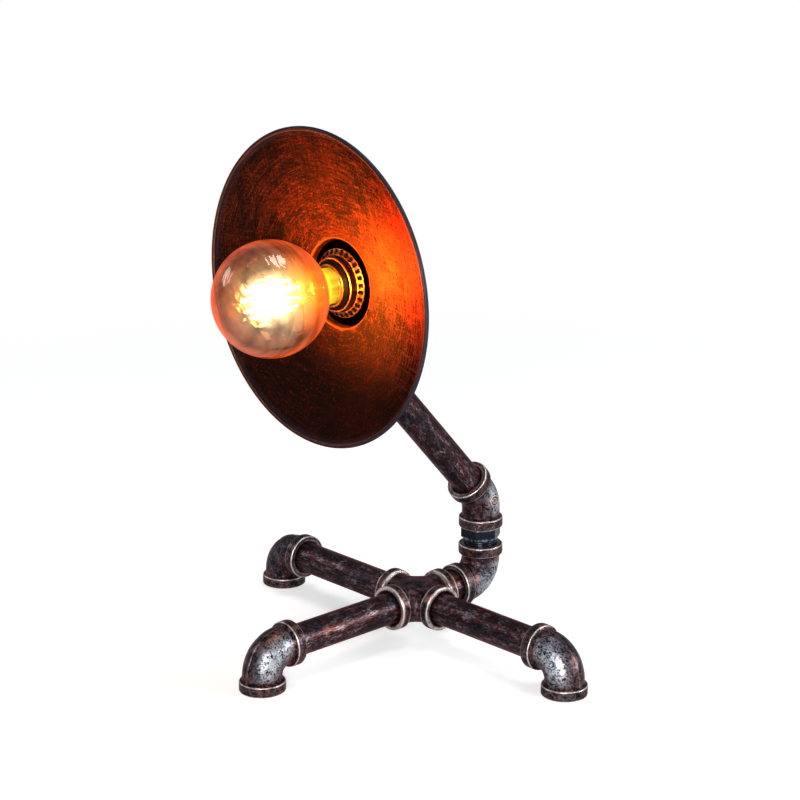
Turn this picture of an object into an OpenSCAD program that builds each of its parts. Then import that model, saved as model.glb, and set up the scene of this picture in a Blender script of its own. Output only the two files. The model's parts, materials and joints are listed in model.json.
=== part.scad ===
// Table lamp built from threaded iron pipe and cast fittings.
// A cross fitting stands on three elbow feet. Its fourth port carries a riser, a leaning arm
// and a horizontal lamp head with a saucer shade and a clear globe bulb.
// +Z is up, the lamp faces -Y, and the origin lies on the table below the middle of the lamp.

/* [Pipe and sockets] */
// Outside diameter of the pipe
pipe_od = 24; // [20:0.5:27]
// Wall of the pipe
pipe_wall = 2.7; // [1.5:0.1:3.5]
// Length of pipe or nipple that is screwed into a socket
thread_length = 12; // [8:0.5:13]
// Radial gap between a threaded end and its socket
thread_gap = 0.06; // [0.02:0.01:0.1]
// Bevel round the mouth of a socket
mouth_bevel = 1.6; // [0.5:0.1:2]

/* [Cast fittings] */
// Wall of a fitting outside the pipe
socket_wall = 2.8; // [2:0.1:4]
// Height of the band round a socket's mouth
band_step = 2.4; // [1:0.1:3.5]
// Width of the band round a socket's mouth
band_width = 8; // [5:0.5:9]
// Rounding of the band's edges
band_round = 1.1; // [0.4:0.1:1.5]
// Inner corner radius of a square elbow
elbow_corner = 3.2; // [2:0.2:6]
// Straight length of a square elbow's socket, before the bend
elbow_straight = 11.2; // [10.5:0.1:16]
// Inner corner radius of an angle elbow
angle_corner = 9.2; // [5:0.2:16]
// Straight length of an angle elbow's socket, before the bend
angle_straight = 14.2; // [10.5:0.1:18]
// Corner radius between two branches of the cross
crotch_radius = 7.5; // [4:0.5:9]
// Distance from the cross's centre to a mouth
cross_reach = 29.2; // [28:0.2:36]
// Height of the parting line rib on a bend
rib_height = 0.5; // [0.2:0.1:1]
// Width of the parting line rib
rib_width = 1.6; // [1:0.1:3]
// Diameter of the plain round pad on an angle elbow's side
pad_d = 9; // [6:0.5:12]
// Height of the round pad above the casting
pad_height = 0.6; // [0.3:0.1:1]

/* [Stand] */
// Cross centre to the front foot's centre
front_leg_reach = 154.6; // [110:1:200]
// Cross centre to a side foot's centre
side_leg_reach = 156.4; // [110:1:200]
// Cross centre to the riser's axis
rear_reach = 69; // [66:1:90]

/* [Arm] */
// Lean of the arm from vertical
lean = 42; // [35:1:50]
// Length of the arm between the centres of its two angle elbows
arm_span = 170.2; // [150:1:200]
// Width of the nipple's hexagon across its flats
hex_flats = 27.4; // [26:0.2:32]
// Length of the nipple's hexagon
hex_length = 10.6; // [8:0.2:14]
// Chamfer on both ends of the hexagon
hex_chamfer = 2.2; // [1:0.2:3]
// Bare length of the nipple below its hexagon
neck_length = 3.8; // [1:0.1:8]

/* [Head casting] */
// Vertical axis to the wide mouth's face
mouth_reach = 24; // [22:0.5:30]
// Lamp axis to the lower socket's face
drop_reach = 31; // [31:0.5:38]
// Depth of the seat that takes the lampholder
seat_depth = 12; // [9:0.5:12]
// Depth of the rounded back behind the vertical axis
back_depth = 15; // [13:0.5:20]

/* [Shade] */
// Outside diameter of the shade
shade_d = 232; // [180:1:260]
// Depth of the dish from its floor to the rim's front
shade_depth = 23.8; // [15:0.5:40]
// Thickness of the sheet metal
shade_wall = 1.2; // [0.8:0.1:2]
// Diameter of the sunk middle
recess_d = 65; // [58:0.5:80]
// Depth of the sunk middle
recess_depth = 4.8; // [2:0.1:5]
// Thickness of the rolled rim
rim_d = 3.4; // [2.4:0.2:5]

/* [Lampholder] */
// Outside diameter of the lampholder's shell
shell_od = 39.8; // [38:0.2:42]
// Wall of the lampholder's shell
shell_wall = 1.4; // [0.8:0.1:1.5]
// Thickness of the shell's flange, which the shade is clamped against
flange_wall = 1.6; // [1:0.1:2]
// Outside diameter of the toothed ring that clamps the shade
ring_od = 50.8; // [49:0.2:54]
// Length of the toothed ring
ring_length = 5.4; // [4:0.2:7]
// Number of notches round the toothed ring
ring_notches = 28; // [16:1:32]
// Diameter of one notch
notch_d = 3; // [2:0.1:3.4]
// Inside diameter of the threaded screw shell
screw_d = 27.8; // [27.4:0.1:28.4]
// Reach of the shell beyond the shade's floor
shell_reach = 6; // [4:0.5:8]
// Reach of the screw shell beyond the shade's floor
screw_reach = 10; // [9:0.5:12]

/* [Bulb] */
// Diameter of the glass globe
globe_d = 83.4; // [70:1:95]
// Overall length of the bulb
bulb_length = 113.6; // [104:0.4:118]
// Front of the rim to the centre of the globe
globe_reach = 40.4; // [39:0.5:46]
// Thickness of the glass
glass_wall = 0.9; // [0.5:0.1:1.2]
// Diameter over the threads of the bulb's cap
cap_d = 26.4; // [26:0.1:26.8]
// Length of the metal cap
cap_length = 23; // [20:0.5:25]
// Radius of the ring that the filament's loops stand on
filament_ring = 11; // [8:0.5:14]
// Length of the filament's loops along the bulb
filament_length = 34; // [20:1:40]
// Thickness of the filament
filament_d = 0.9; // [0.6:0.1:1.2]
// Number of loops in the filament
filament_loops = 8; // [5:1:10]

/* [Wiring] */
// Diameter of the cable inside the pipes
flex_d = 5.8; // [5:0.2:6.4]
// Slope of the cord hole below horizontal
exit_slope = 25; // [15:1:35]
// Diameter of the rubber grommet's sleeve
grommet_d = 9.2; // [8.6:0.2:10]
// Diameter of the grommet's flange
grommet_flange = 13.6; // [12:0.2:15]

/* [Hidden] */
$fn = 96;

iron = "#2b2220";
iron_pipe = "#33241f";
black_iron = "#17171a";
copper_tone = "#7a3a1c";
brass = "#c99a3f";
rubber = "#111111";
porcelain = "#1a1816";
glass = "#e8a45a";

cut = 0.1;                                   // overrun of a cutting tool past the face it opens
lap_angle = 1;                               // turn by which a bend runs on into its straight ends
lap_step = 0.05;                             // how much thinner a bend is than its straight ends
seat_gap = 0.05;                             // gap between two faces that are clamped together
fit_gap = 0.2;                               // gap round a part that is pushed into place
arc_steps = 4;                               // straight pieces in a small rounding
pipe_r = pipe_od / 2;
bore_r = pipe_r - pipe_wall;
socket_r = pipe_r + thread_gap;
socket_spare = 1;                            // depth of a socket beyond the threaded end
socket_depth = thread_length + socket_spare;
body_r = pipe_r + socket_wall;
band_r = body_r + band_step;
heel = 1.2;                                  // bevel where a band meets the body
elbow_bend = body_r + elbow_corner;
elbow_reach = elbow_bend + elbow_straight;
angle_bend = body_r + angle_corner;
angle_reach = angle_bend * tan(lean / 2) + angle_straight;
nipple_stack = neck_length + hex_length;

axis_z = elbow_reach;                        // height of the cross and the legs
riser_face = axis_z + elbow_reach;
lower_bend_z = riser_face + nipple_stack + angle_reach;
head_y = rear_reach - arm_span * sin(lean);
upper_bend_z = lower_bend_z + arm_span * cos(lean);
upper_face = upper_bend_z + angle_reach;
head_z = upper_face + nipple_stack + drop_reach;

shell_r = shell_od / 2;
shell_gap = 0.15;                            // radial gap round the lampholder's shell
cup_r = shell_r + shell_gap + socket_wall;
mouth_r = cup_r + band_step;
seat_ledge = 3.4;                            // width of the ledge behind the lampholder
inner_cup_r = shell_r - seat_ledge;
seat_back = max(mouth_reach - seat_depth, pipe_r);  // clear of the nipple in the socket below
shell_back = seat_back + fit_gap;
flange_front = mouth_reach + seat_gap + flange_wall;
plate_back = flange_front + seat_gap;
plate_front = plate_back + shade_wall;
shade_floor = plate_front + recess_depth;
rim_front = shade_floor + shade_depth;
ring_back = plate_front + seat_gap;

globe_centre = rim_front + globe_reach;
globe_r = globe_d / 2;
cap_wall = 0.25;
neck_r = cap_d / 2 - cap_wall - seat_gap;    // glass neck inside the cap's mouth
tip_height = 3;                              // contact tip to the back of the metal cap
cap_tip = globe_centre + globe_r - bulb_length;
cap_back = cap_tip + tip_height;
cap_front = cap_back + cap_length;
glass_end = cap_front - 2.1;                 // where the glass ends inside the cap
neck_straight = 1;                           // straight glass in front of the cap
neck_run = globe_centre - cap_front - neck_straight;
neck_fillet = (neck_run * neck_run + neck_r * neck_r - globe_r * globe_r) / (2 * (globe_r - neck_r));
contact_room = 5.4;                          // room for the centre contact behind the bulb's tip
core_floor = cap_tip - contact_room;
core_back = shell_back + fit_gap;
core_r = shell_r - shell_wall - fit_gap;
core_front = shade_floor + screw_reach - 1;
screw_wall = 0.5;
pocket_r = screw_d / 2 + screw_wall + fit_gap;
terminal_side = 9;                           // lamp axis to a terminal screw
set_screw_d = 4;
set_screw_back = mouth_reach - band_width / 2;

spot_depth = 1.7;                            // depth of the flat for the grommet's flange
flange_height = 2;                           // height of the grommet's flange
spot_face = elbow_bend + body_r - spot_depth;
grommet_face = spot_face + flange_height;

stem_base = cap_front + 1;
stem_top = globe_centre + filament_length / 2 + 3;
rod_r = 1.6;                                 // glass rod in the middle of the filament
wire_d = 0.5;
hoop_turn = 330;                             // how far the filament goes round the stem
hoop_low = globe_centre - filament_length / 2;
hoop_high = globe_centre + filament_length / 2;

front_y = min(head_y - globe_centre - globe_r, -front_leg_reach - band_r);
back_y = rear_reach + band_r;
shift_y = -(front_y + back_y) / 2;

// ---------- shared shapes ----------

function arc_points(centre, radius, from, to, steps) =
    [for (i = [0:steps]) centre + radius * [cos(from + (to - from) * i / steps),
                                            sin(from + (to - from) * i / steps)]];

// Half section of a socket end: the face at 0, the band, and the body up to the bend
function end_profile(body, length) = concat(
    [[0, 0]],
    arc_points([body + band_step - band_round, band_round], band_round, -90, 0, arc_steps),
    arc_points([body + band_step - band_round, band_width - band_round], band_round, 0, 90, arc_steps),
    [[body + heel, band_width], [body, band_width + heel], [body, length], [0, length]]);

module in_place() { translate([0, shift_y, 0]) children(); }

// Local +Z points out of the lamp's front and local +Y points up
module on_head() { in_place() translate([0, head_y, head_z]) rotate([90, 0, 0]) children(); }

// Local +Z runs up the arm from the lower angle elbow's centre
module on_arm() { in_place() translate([0, rear_reach, lower_bend_z]) rotate([lean, 0, 0]) children(); }

module tube(outer, inner, length) {
    difference() {
        cylinder(r = outer, h = length);
        translate([0, 0, -cut]) cylinder(r = inner, h = length + 2 * cut);
    }
}

module socket_end(length) { rotate_extrude() polygon(end_profile(body_r, length)); }

// Everything that is cut from one socket, from its face inwards
module socket_cut() {
    translate([0, 0, -cut]) cylinder(r = socket_r, h = socket_depth + cut);
    translate([0, 0, -cut])
        cylinder(r1 = socket_r + mouth_bevel + cut, r2 = socket_r, h = mouth_bevel + cut);
}

// Sweeps a child shape round a bend in the XZ plane, from +X towards +Z
module swept_bend(turn, bend) {
    translate([-bend * tan(turn / 2), 0, bend])
        rotate([0, 90, 0]) rotate([90, 0, 0]) rotate([0, 0, -lap_angle])
            rotate_extrude(angle = turn + 2 * lap_angle) children();
}

// A round bar or bore that follows the same bend
module round_bend(turn, bend, radius) {
    swept_bend(turn, bend) translate([bend, 0]) circle(r = radius - lap_step);
}

// Puts a child on the two mouths of an elbow, looking inwards
module at_mouths(turn, reach) {
    translate([-reach, 0, 0]) rotate([0, 90, 0]) children();
    rotate([0, -turn, 0]) translate([reach, 0, 0]) rotate([0, -90, 0]) children();
}

// An elbow whose axes cross at the origin: it comes in along +X and turns towards +Z
module elbow(turn, bend, straight) {
    reach = bend * tan(turn / 2) + straight;
    difference() {
        union() {
            at_mouths(turn, reach) socket_end(straight);
            round_bend(turn, bend, body_r);
            swept_bend(turn, bend)
                translate([bend + body_r - rib_height, -rib_width / 2])
                    square([2 * rib_height, rib_width]);
        }
        at_mouths(turn, reach) cylinder(r = bore_r, h = straight);
        round_bend(turn, bend, bore_r);
        at_mouths(turn, reach) socket_cut();
    }
}

module foot(turned) {
    translate([0, 0, axis_z]) rotate([180, 0, turned]) elbow(90, elbow_bend, elbow_straight);
}

// An angle elbow with its upright mouth below and its leaning mouth above
module angle_elbow(pad_side) {
    pad_root = 2;
    groove_depth = 0.4;
    groove_width = 1;
    groove_r = pad_d / 2 - 1;
    rotate([0, -90, 90])
        difference() {
            union() {
                elbow(lean, angle_bend, angle_straight);
                rotate([pad_side * 90, 0, 0])
                    translate([0, 0, body_r - pad_root]) cylinder(d = pad_d, h = pad_root + pad_height);
            }
            rotate([pad_side * 90, 0, 0])
                translate([0, 0, body_r + pad_height - groove_depth])
                    tube(groove_r, groove_r - groove_width, groove_depth + cut);
        }
}

module leg(turned, reach) {
    start = cross_reach - thread_length;
    rotate([0, 0, turned]) translate([start, 0, axis_z]) rotate([0, 90, 0])
        tube(pipe_r, bore_r, reach - elbow_reach + thread_length - start);
}

module hex_nipple() {
    top = nipple_stack + thread_length;
    flats_r = hex_flats / 2;
    corner_r = flats_r / cos(30);
    shoulder_r = pipe_r + 0.2;
    difference() {
        union() {
            translate([0, 0, -thread_length]) cylinder(r = pipe_r, h = top + thread_length);
            intersection() {
                translate([0, 0, neck_length]) cylinder(r = corner_r, h = hex_length, $fn = 6);
                rotate_extrude() polygon([
                    [0, neck_length], [shoulder_r, neck_length],
                    [corner_r, neck_length + hex_chamfer],
                    [corner_r, nipple_stack - hex_chamfer / 2],
                    [flats_r, nipple_stack], [0, nipple_stack]]);
            }
        }
        translate([0, 0, -thread_length - cut]) cylinder(r = bore_r, h = top + thread_length + 2 * cut);
    }
}

// ---------- stand ----------

module cross_fitting() {
    crotch_bend = body_r + crotch_radius;
    color(iron) in_place() translate([0, 0, axis_z]) difference() {
        union() {
            for (turned = [0:90:270]) rotate([0, 0, turned]) {
                translate([cross_reach, 0, 0]) rotate([0, -90, 0]) socket_end(cross_reach);
                translate([crotch_bend, crotch_bend, 0]) rotate([0, 0, 180])
                    rotate_extrude(angle = 90) translate([crotch_bend, 0]) circle(r = body_r - lap_step);
            }
        }
        for (turned = [0, 90]) rotate([0, 0, turned])
            translate([-cross_reach, 0, 0]) rotate([0, 90, 0]) cylinder(r = bore_r, h = 2 * cross_reach);
        for (turned = [0:90:270]) rotate([0, 0, turned])
            translate([cross_reach, 0, 0]) rotate([0, -90, 0]) socket_cut();
    }
}

module front_leg() { color(iron_pipe) in_place() leg(-90, front_leg_reach); }

module left_leg() { color(iron_pipe) in_place() leg(180, side_leg_reach); }

module right_leg() { color(iron_pipe) in_place() leg(0, side_leg_reach); }

module front_foot() { color(iron) in_place() translate([0, -front_leg_reach, 0]) foot(-90); }

module left_foot() { color(iron) in_place() translate([-side_leg_reach, 0, 0]) foot(180); }

module right_foot() { color(iron) in_place() translate([side_leg_reach, 0, 0]) foot(0); }

module rear_nipple() { color(iron_pipe) in_place() leg(90, rear_reach); }

// Local +Z points out of the riser elbow's back, square to its bend, from the bend's centre
module on_cord_hole() {
    translate([0, rear_reach - elbow_bend, axis_z + elbow_bend])
        rotate([-90 - exit_slope, 0, 0]) children();
}

module riser_elbow() {
    color(iron) in_place() difference() {
        translate([0, rear_reach, axis_z]) rotate([0, 0, 90]) elbow(90, elbow_bend, elbow_straight);
        on_cord_hole() {
            translate([0, 0, elbow_bend]) cylinder(d = grommet_d + 2 * seat_gap, h = body_r);
            translate([0, 0, spot_face]) cylinder(d = grommet_flange + 2 * fit_gap, h = body_r);
        }
    }
}

module cord_grommet() {
    flange_r = grommet_flange / 2;
    flange_bevel = 1.1;
    flex_gap = 0.1;
    color(rubber) in_place() on_cord_hole() difference() {
        union() {
            translate([0, 0, elbow_bend + bore_r + 2 * fit_gap])
                cylinder(d = grommet_d, h = spot_face - elbow_bend - bore_r);
            translate([0, 0, spot_face]) rotate_extrude() polygon([
                [0, 0], [flange_r, 0], [flange_r, flange_height - flange_bevel],
                [flange_r - flange_bevel, flange_height], [0, flange_height]]);
        }
        translate([0, 0, elbow_bend]) cylinder(r = flex_d / 2 + flex_gap, h = body_r + flange_height);
    }
}

module base_flex() {
    meet_z = axis_z + elbow_bend * (1 - tan(exit_slope));
    meet_reach = elbow_bend / cos(exit_slope);
    bend = 9;
    tangent = bend * tan((90 - exit_slope) / 2);
    color(rubber) in_place() {
        on_cord_hole() translate([0, 0, meet_reach + tangent])
            cylinder(d = flex_d, h = grommet_face - meet_reach - tangent);
        translate([0, rear_reach, meet_z]) rotate([-exit_slope, 0, 0]) rotate([0, 0, -90])
            round_bend(90 - exit_slope, bend, flex_d / 2);
        translate([0, rear_reach, meet_z + tangent])
            cylinder(d = flex_d, h = riser_face + neck_length / 2 - meet_z - tangent - seat_gap);
    }
}

// ---------- arm ----------

module lower_hex_nipple() {
    color(black_iron) in_place() translate([0, rear_reach, riser_face]) hex_nipple();
}

module lower_angle_elbow() {
    color(iron) in_place() translate([0, rear_reach, lower_bend_z]) angle_elbow(1);
}

module arm_pipe() {
    start = angle_reach - thread_length;
    color(iron_pipe) on_arm() translate([0, 0, start])
        tube(pipe_r, bore_r, arm_span - 2 * start);
}

module upper_angle_elbow() {
    color(iron) in_place() translate([0, head_y, upper_bend_z]) rotate([180, 0, 0]) angle_elbow(-1);
}

module arm_flex() {
    tangent = angle_bend * tan(lean / 2);
    low_start = riser_face + neck_length / 2 + seat_gap;
    top_end = upper_face + neck_length / 2 - seat_gap;
    color(rubber) {
        in_place() translate([0, rear_reach, low_start])
            cylinder(d = flex_d, h = lower_bend_z - tangent - low_start);
        in_place() translate([0, rear_reach, lower_bend_z]) rotate([0, -90, 90])
            round_bend(lean, angle_bend, flex_d / 2);
        on_arm() translate([0, 0, tangent]) cylinder(d = flex_d, h = arm_span - 2 * tangent);
        in_place() translate([0, head_y, upper_bend_z]) rotate([180, 0, 0]) rotate([0, -90, 90])
            round_bend(lean, angle_bend, flex_d / 2);
        in_place() translate([0, head_y, upper_bend_z + tangent])
            cylinder(d = flex_d, h = top_end - upper_bend_z - tangent);
    }
}

// ---------- head ----------

module upper_hex_nipple() {
    color(black_iron) in_place() translate([0, head_y, upper_face]) hex_nipple();
}

// Reducing elbow: a wide mouth in front takes the lampholder, a narrow socket below takes the nipple
module head_casting() {
    dome_step = 9;
    back_wall = 5;
    seat_r = shell_r + shell_gap;
    color(iron) on_head() difference() {
        union() {
            rotate_extrude() polygon(concat(
                [[0, mouth_reach]],
                arc_points([mouth_r - band_round, mouth_reach - band_round], band_round, 90, 0, arc_steps),
                arc_points([mouth_r - band_round, mouth_reach - band_width + band_round],
                           band_round, 0, -90, arc_steps),
                [[cup_r + heel, mouth_reach - band_width], [cup_r, mouth_reach - band_width - heel]],
                [for (a = [0:dome_step:90]) [cup_r * cos(a), -back_depth * sin(a)]]));
            translate([0, -drop_reach, 0]) rotate([-90, 0, 0]) socket_end(drop_reach - bore_r);
        }
        translate([0, 0, seat_back]) cylinder(r = seat_r, h = mouth_reach - seat_back + cut);
        translate([0, 0, back_wall - back_depth])
            cylinder(r = inner_cup_r, h = mouth_reach + back_depth - back_wall);
        translate([0, -drop_reach, 0]) rotate([-90, 0, 0]) {
            cylinder(r = bore_r, h = drop_reach);
            socket_cut();
        }
        translate([0, shell_r, set_screw_back]) rotate([-90, 0, 0])
            cylinder(d = set_screw_d + 2 * seat_gap, h = mouth_r);
    }
}

module head_flex() {
    bend = 8;
    low_start = upper_face - head_z + neck_length / 2 + seat_gap;
    color(rubber) on_head() {
        translate([0, low_start, 0]) rotate([-90, 0, 0]) cylinder(d = flex_d, h = -bend - low_start);
        rotate([0, 0, 90]) round_bend(90, bend, flex_d / 2);
        translate([0, 0, bend]) cylinder(d = flex_d, h = core_back - seat_gap - bend);
    }
}

// Grub screw in the mouth's band, with a hexagon socket
module holder_set_screw() {
    length = mouth_r - shell_r - 2 * fit_gap;
    key_r = 1.15;
    key_depth = 2;
    color(black_iron) on_head()
        translate([0, shell_r + seat_gap, set_screw_back]) rotate([-90, 0, 0]) difference() {
            cylinder(d = set_screw_d, h = length);
            translate([0, 0, length - key_depth]) cylinder(r = key_r, h = key_depth + cut, $fn = 6);
        }
}

module holder_shell() {
    length = shade_floor + shell_reach - shell_back;
    flange_inset = 1.2;
    color(brass) on_head() difference() {
        union() {
            translate([0, 0, shell_back]) cylinder(r = shell_r, h = length);
            translate([0, 0, mouth_reach + seat_gap]) cylinder(r = mouth_r - flange_inset, h = flange_wall);
        }
        translate([0, 0, shell_back - cut]) cylinder(r = shell_r - shell_wall, h = length + 2 * cut);
    }
}

module holder_core() {
    edge_width = 2;
    edge_depth = 2.4;
    hole_r = 1.6;
    hole_depth = 5;
    color(porcelain) on_head() difference() {
        rotate_extrude() polygon([
            [0, core_back], [core_r, core_back], [core_r, core_front - edge_depth],
            [core_r - edge_width, core_front], [0, core_front]]);
        translate([0, 0, core_floor]) cylinder(r = pocket_r, h = core_front - core_floor + cut);
        for (side = [-1, 1]) translate([side * terminal_side, 0, core_back - cut])
            cylinder(r = hole_r, h = hole_depth);
    }
}

module screw_shell() {
    inner_r = screw_d / 2;
    outer_r = inner_r + screw_wall;
    lip_r = pocket_r + 1.2;
    lip_wall = 0.8;
    front = core_front + fit_gap + lip_wall;
    color(brass) on_head() rotate_extrude() polygon([
        [inner_r, core_floor + fit_gap], [outer_r, core_floor + fit_gap],
        [outer_r, front - lip_wall], [lip_r, front - lip_wall], [lip_r, front], [inner_r, front]]);
}

// Bent spring strip on the floor of the lampholder
module centre_contact() {
    strip = 0.6;
    width = 5;
    reach = 9;
    top = contact_room - 0.3;
    color(brass) on_head() translate([0, width / 2, core_floor + seat_gap]) rotate([90, 0, 0])
        linear_extrude(width) polygon([
            [-reach, 0], [reach / 2, 0], [reach / 2, strip], [1.6 - reach, strip],
            [-reach / 2, top - strip], [reach / 3, top - strip], [reach / 3, top],
            [-reach / 2 - strip, top], [-reach, strip]]);
}

module terminal_screws() {
    shank_r = 1.5;
    shank_length = 4;
    head_r = 2.8;
    head_length = 2.5;
    slot_width = 0.8;
    slot_depth = 1;
    head_back = core_back - seat_gap - head_length;
    color(brass) on_head() for (side = [-1, 1]) translate([side * terminal_side, 0, head_back])
        difference() {
            union() {
                cylinder(r = shank_r, h = head_length + shank_length);
                cylinder(r = head_r, h = head_length);
            }
            translate([-head_r - cut, -slot_width / 2, -cut])
                cube([2 * (head_r + cut), slot_width, slot_depth + cut]);
        }
}

module shade_ring() {
    ring_r = ring_od / 2;
    inner_r = shell_r + 2 * seat_gap;
    back_bevel = 1.2;
    front_bevel = 1.6;
    notch_offset = 0.3;
    front = ring_back + ring_length;
    color(brass) on_head() difference() {
        rotate_extrude() polygon([
            [inner_r, ring_back], [ring_r - back_bevel, ring_back], [ring_r, ring_back + back_bevel],
            [ring_r, front - front_bevel], [ring_r - front_bevel, front], [inner_r, front]]);
        for (i = [0:ring_notches - 1]) rotate([0, 0, i * 360 / ring_notches])
            translate([ring_r + notch_offset, 0, ring_back - cut])
                cylinder(d = notch_d, h = ring_length + 2 * cut);
    }
}

// Plate, step, curved dish and rolled rim
module shade() {
    hole_r = shell_r + fit_gap;
    recess_r = recess_d / 2;
    rim_r = shade_d / 2 - rim_d / 2;
    rim_z = rim_front - rim_d / 2;
    steps = 16;
    inner = [for (i = [0:steps]) let (r = recess_r + (rim_r - recess_r) * i / steps)
        [r, shade_floor + (rim_z - shade_floor) * (r * r - recess_r * recess_r)
            / (rim_r * rim_r - recess_r * recess_r)]];
    color(copper_tone) on_head() {
        rotate_extrude() polygon(concat(
            [[hole_r, plate_back], [recess_r + shade_wall, plate_back]],
            [for (i = [1:steps]) inner[i] + [0, -shade_wall]],
            [for (i = [steps:-1:0]) inner[i]],
            [[recess_r, plate_front], [hole_r, plate_front]]));
        translate([0, 0, rim_z]) rotate_extrude() translate([rim_r, 0]) circle(d = rim_d, $fn = 32);
    }
}

// ---------- bulb ----------

globe_steps = 27;
neck_steps = 6;

// Half section of the glass, offset inwards by the given amount
function glass_profile(inset) =
    let (join = asin((neck_r + neck_fillet) / (globe_r + neck_fillet)),
         fillet_z = globe_centre - (globe_r + neck_fillet) * cos(join))
    concat(
        [for (i = [0:globe_steps - 1]) let (a = (180 - join) * i / globe_steps)
            (globe_r - inset) * [sin(a), cos(a)] + [0, globe_centre]],
        [for (i = [0:neck_steps]) let (a = (90 - join) * (1 - i / neck_steps))
            [neck_r + neck_fillet, fillet_z] + (neck_fillet + inset) * [-cos(a), sin(a)]],
        [[neck_r - inset, glass_end]]);

module bulb_glass() {
    outer = glass_profile(0);
    inner = glass_profile(glass_wall);
    color(glass, 0.4) on_head() rotate_extrude() polygon(concat(
        outer, [for (i = [len(inner) - 1:-1:0]) inner[i]]));
}

// Thin threaded metal cap; the thread is drawn as closed rings
module bulb_cap() {
    crest = cap_d / 2;
    root = crest - 0.9;
    turns = 5;
    plain_ends = 5;
    pitch = (cap_length - plain_ends) / turns;
    start = cap_back + 1.4;
    finish = start + pitch * turns;
    inner_root = root - 0.5;
    sheet = 0.6;
    hole_r = 5;
    back_r = root - 2;
    color(brass) on_head() rotate_extrude() polygon(concat(
        [[hole_r, cap_back], [back_r, cap_back]],
        [for (i = [0:turns * 8]) [(crest + root) / 2 - (crest - root) / 2 * cos(i * 45),
                                  start + pitch * i / 8]],
        [[crest, finish + 1], [crest, cap_front], [crest - cap_wall, cap_front],
         [crest - cap_wall, finish + 1.4], [inner_root, finish], [inner_root, start + sheet],
         [back_r - fit_gap, cap_back + sheet], [hole_r, cap_back + sheet]]));
}

module bulb_insulator() {
    hole_r = 2.2;
    front_r = 9;
    back_r = 5;
    color(porcelain) on_head() rotate_extrude() polygon([
        [hole_r, cap_tip + 1], [back_r, cap_tip + 0.8], [front_r, cap_back - seat_gap],
        [hole_r, cap_back - seat_gap]]);
}

module bulb_tip() {
    pin_r = 2.1;
    face_r = 2.6;
    edge_r = 4.4;
    color("silver") on_head() rotate_extrude() polygon([
        [0, cap_tip], [face_r, cap_tip], [edge_r, cap_tip + 0.7], [pin_r, cap_tip + 0.9],
        [pin_r, cap_back], [0, cap_back]]);
}

// Glass foot and rod that carry the filament
module bulb_stem() {
    foot_r = neck_r - glass_wall - 2 * seat_gap;
    waist_r = 6;
    pinch_r = 4;
    color(glass, 0.5) on_head() rotate_extrude() polygon([
        [0, glass_end], [foot_r, glass_end], [foot_r, cap_front - 1], [waist_r, stem_base + 4],
        [pinch_r, stem_base + 9], [rod_r, stem_base + 12], [rod_r, stem_top], [0, stem_top + 1]]);
}

module support_wires() {
    length = filament_ring - filament_d / 2 - rod_r - 2 * seat_gap;
    color("silver") on_head() for (level = [0, 1]) for (i = [1 - level:filament_loops - 1])
        rotate([0, 0, (i + level / 2) * hoop_turn / filament_loops])
            translate([rod_r + seat_gap, 0, level == 0 ? hoop_low : hoop_high]) rotate([0, 90, 0])
                cylinder(d = wire_d, h = length, $fn = 16);
}

// Two wires that carry the filament's ends
module lead_wires() {
    foot_r = 4.6;
    foot_z = stem_base + 8.6;
    rise = hoop_low - foot_z;
    run = filament_ring - foot_r;
    length = norm([rise, run]) - filament_d / 2 - seat_gap;
    color("silver") on_head() for (turned = [0, hoop_turn]) rotate([0, 0, turned])
        translate([foot_r, 0, foot_z]) rotate([0, atan(run / rise), 0])
            cylinder(d = 1.6 * wire_d, h = length, $fn = 16);
}

function filament_point(t) =
    let (turned = t * hoop_turn, wave = -cos(t * 360 * filament_loops))
    [filament_ring * cos(turned), filament_ring * sin(turned),
     globe_centre + wave * filament_length / 2];

module filament() {
    sides = 6;
    turn = 360 / sides;
    rings = filament_loops * 12;
    points = [for (i = [0:rings]) filament_point(i / rings)];
    function heading(i) = let (v = points[min(i + 1, rings)] - points[max(i - 1, 0)]) v / norm(v);
    function outward(i) = let (p = points[i]) [p[0], p[1], 0] / norm([p[0], p[1], 0]);
    function across(i) = let (v = cross(heading(i), outward(i))) v / norm(v);
    skin = [for (i = [0:rings]) let (u = across(i), v = cross(u, heading(i)))
        for (k = [0:sides - 1]) points[i] + filament_d / 2 * (u * cos(k * turn) + v * sin(k * turn))];
    color("orange") on_head() polyhedron(skin, concat(
        [for (i = [0:rings - 1]) for (k = [0:sides - 1]) let (n = (k + 1) % sides)
            for (f = [[i * sides + k, (i + 1) * sides + k, (i + 1) * sides + n],
                      [i * sides + k, (i + 1) * sides + n, i * sides + n]]) f],
        [[for (k = [0:sides - 1]) k], [for (k = [sides - 1:-1:0]) rings * sides + k]]));
}

cross_fitting();
front_leg();
left_leg();
right_leg();
front_foot();
left_foot();
right_foot();
rear_nipple();
riser_elbow();
cord_grommet();
base_flex();
lower_hex_nipple();
lower_angle_elbow();
arm_pipe();
upper_angle_elbow();
arm_flex();
upper_hex_nipple();
head_casting();
head_flex();
holder_set_screw();
holder_shell();
holder_core();
screw_shell();
centre_contact();
terminal_screws();
shade_ring();
shade();
bulb_glass();
bulb_cap();
bulb_insulator();
bulb_tip();
bulb_stem();
lead_wires();
support_wires();
filament();
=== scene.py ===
"""Table lamp of iron pipe and cast fittings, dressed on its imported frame.

Lengths in the shape code are millimetres; what reaches Blender is metres.
+Z is up and the lamp faces -Y.
"""

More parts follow.
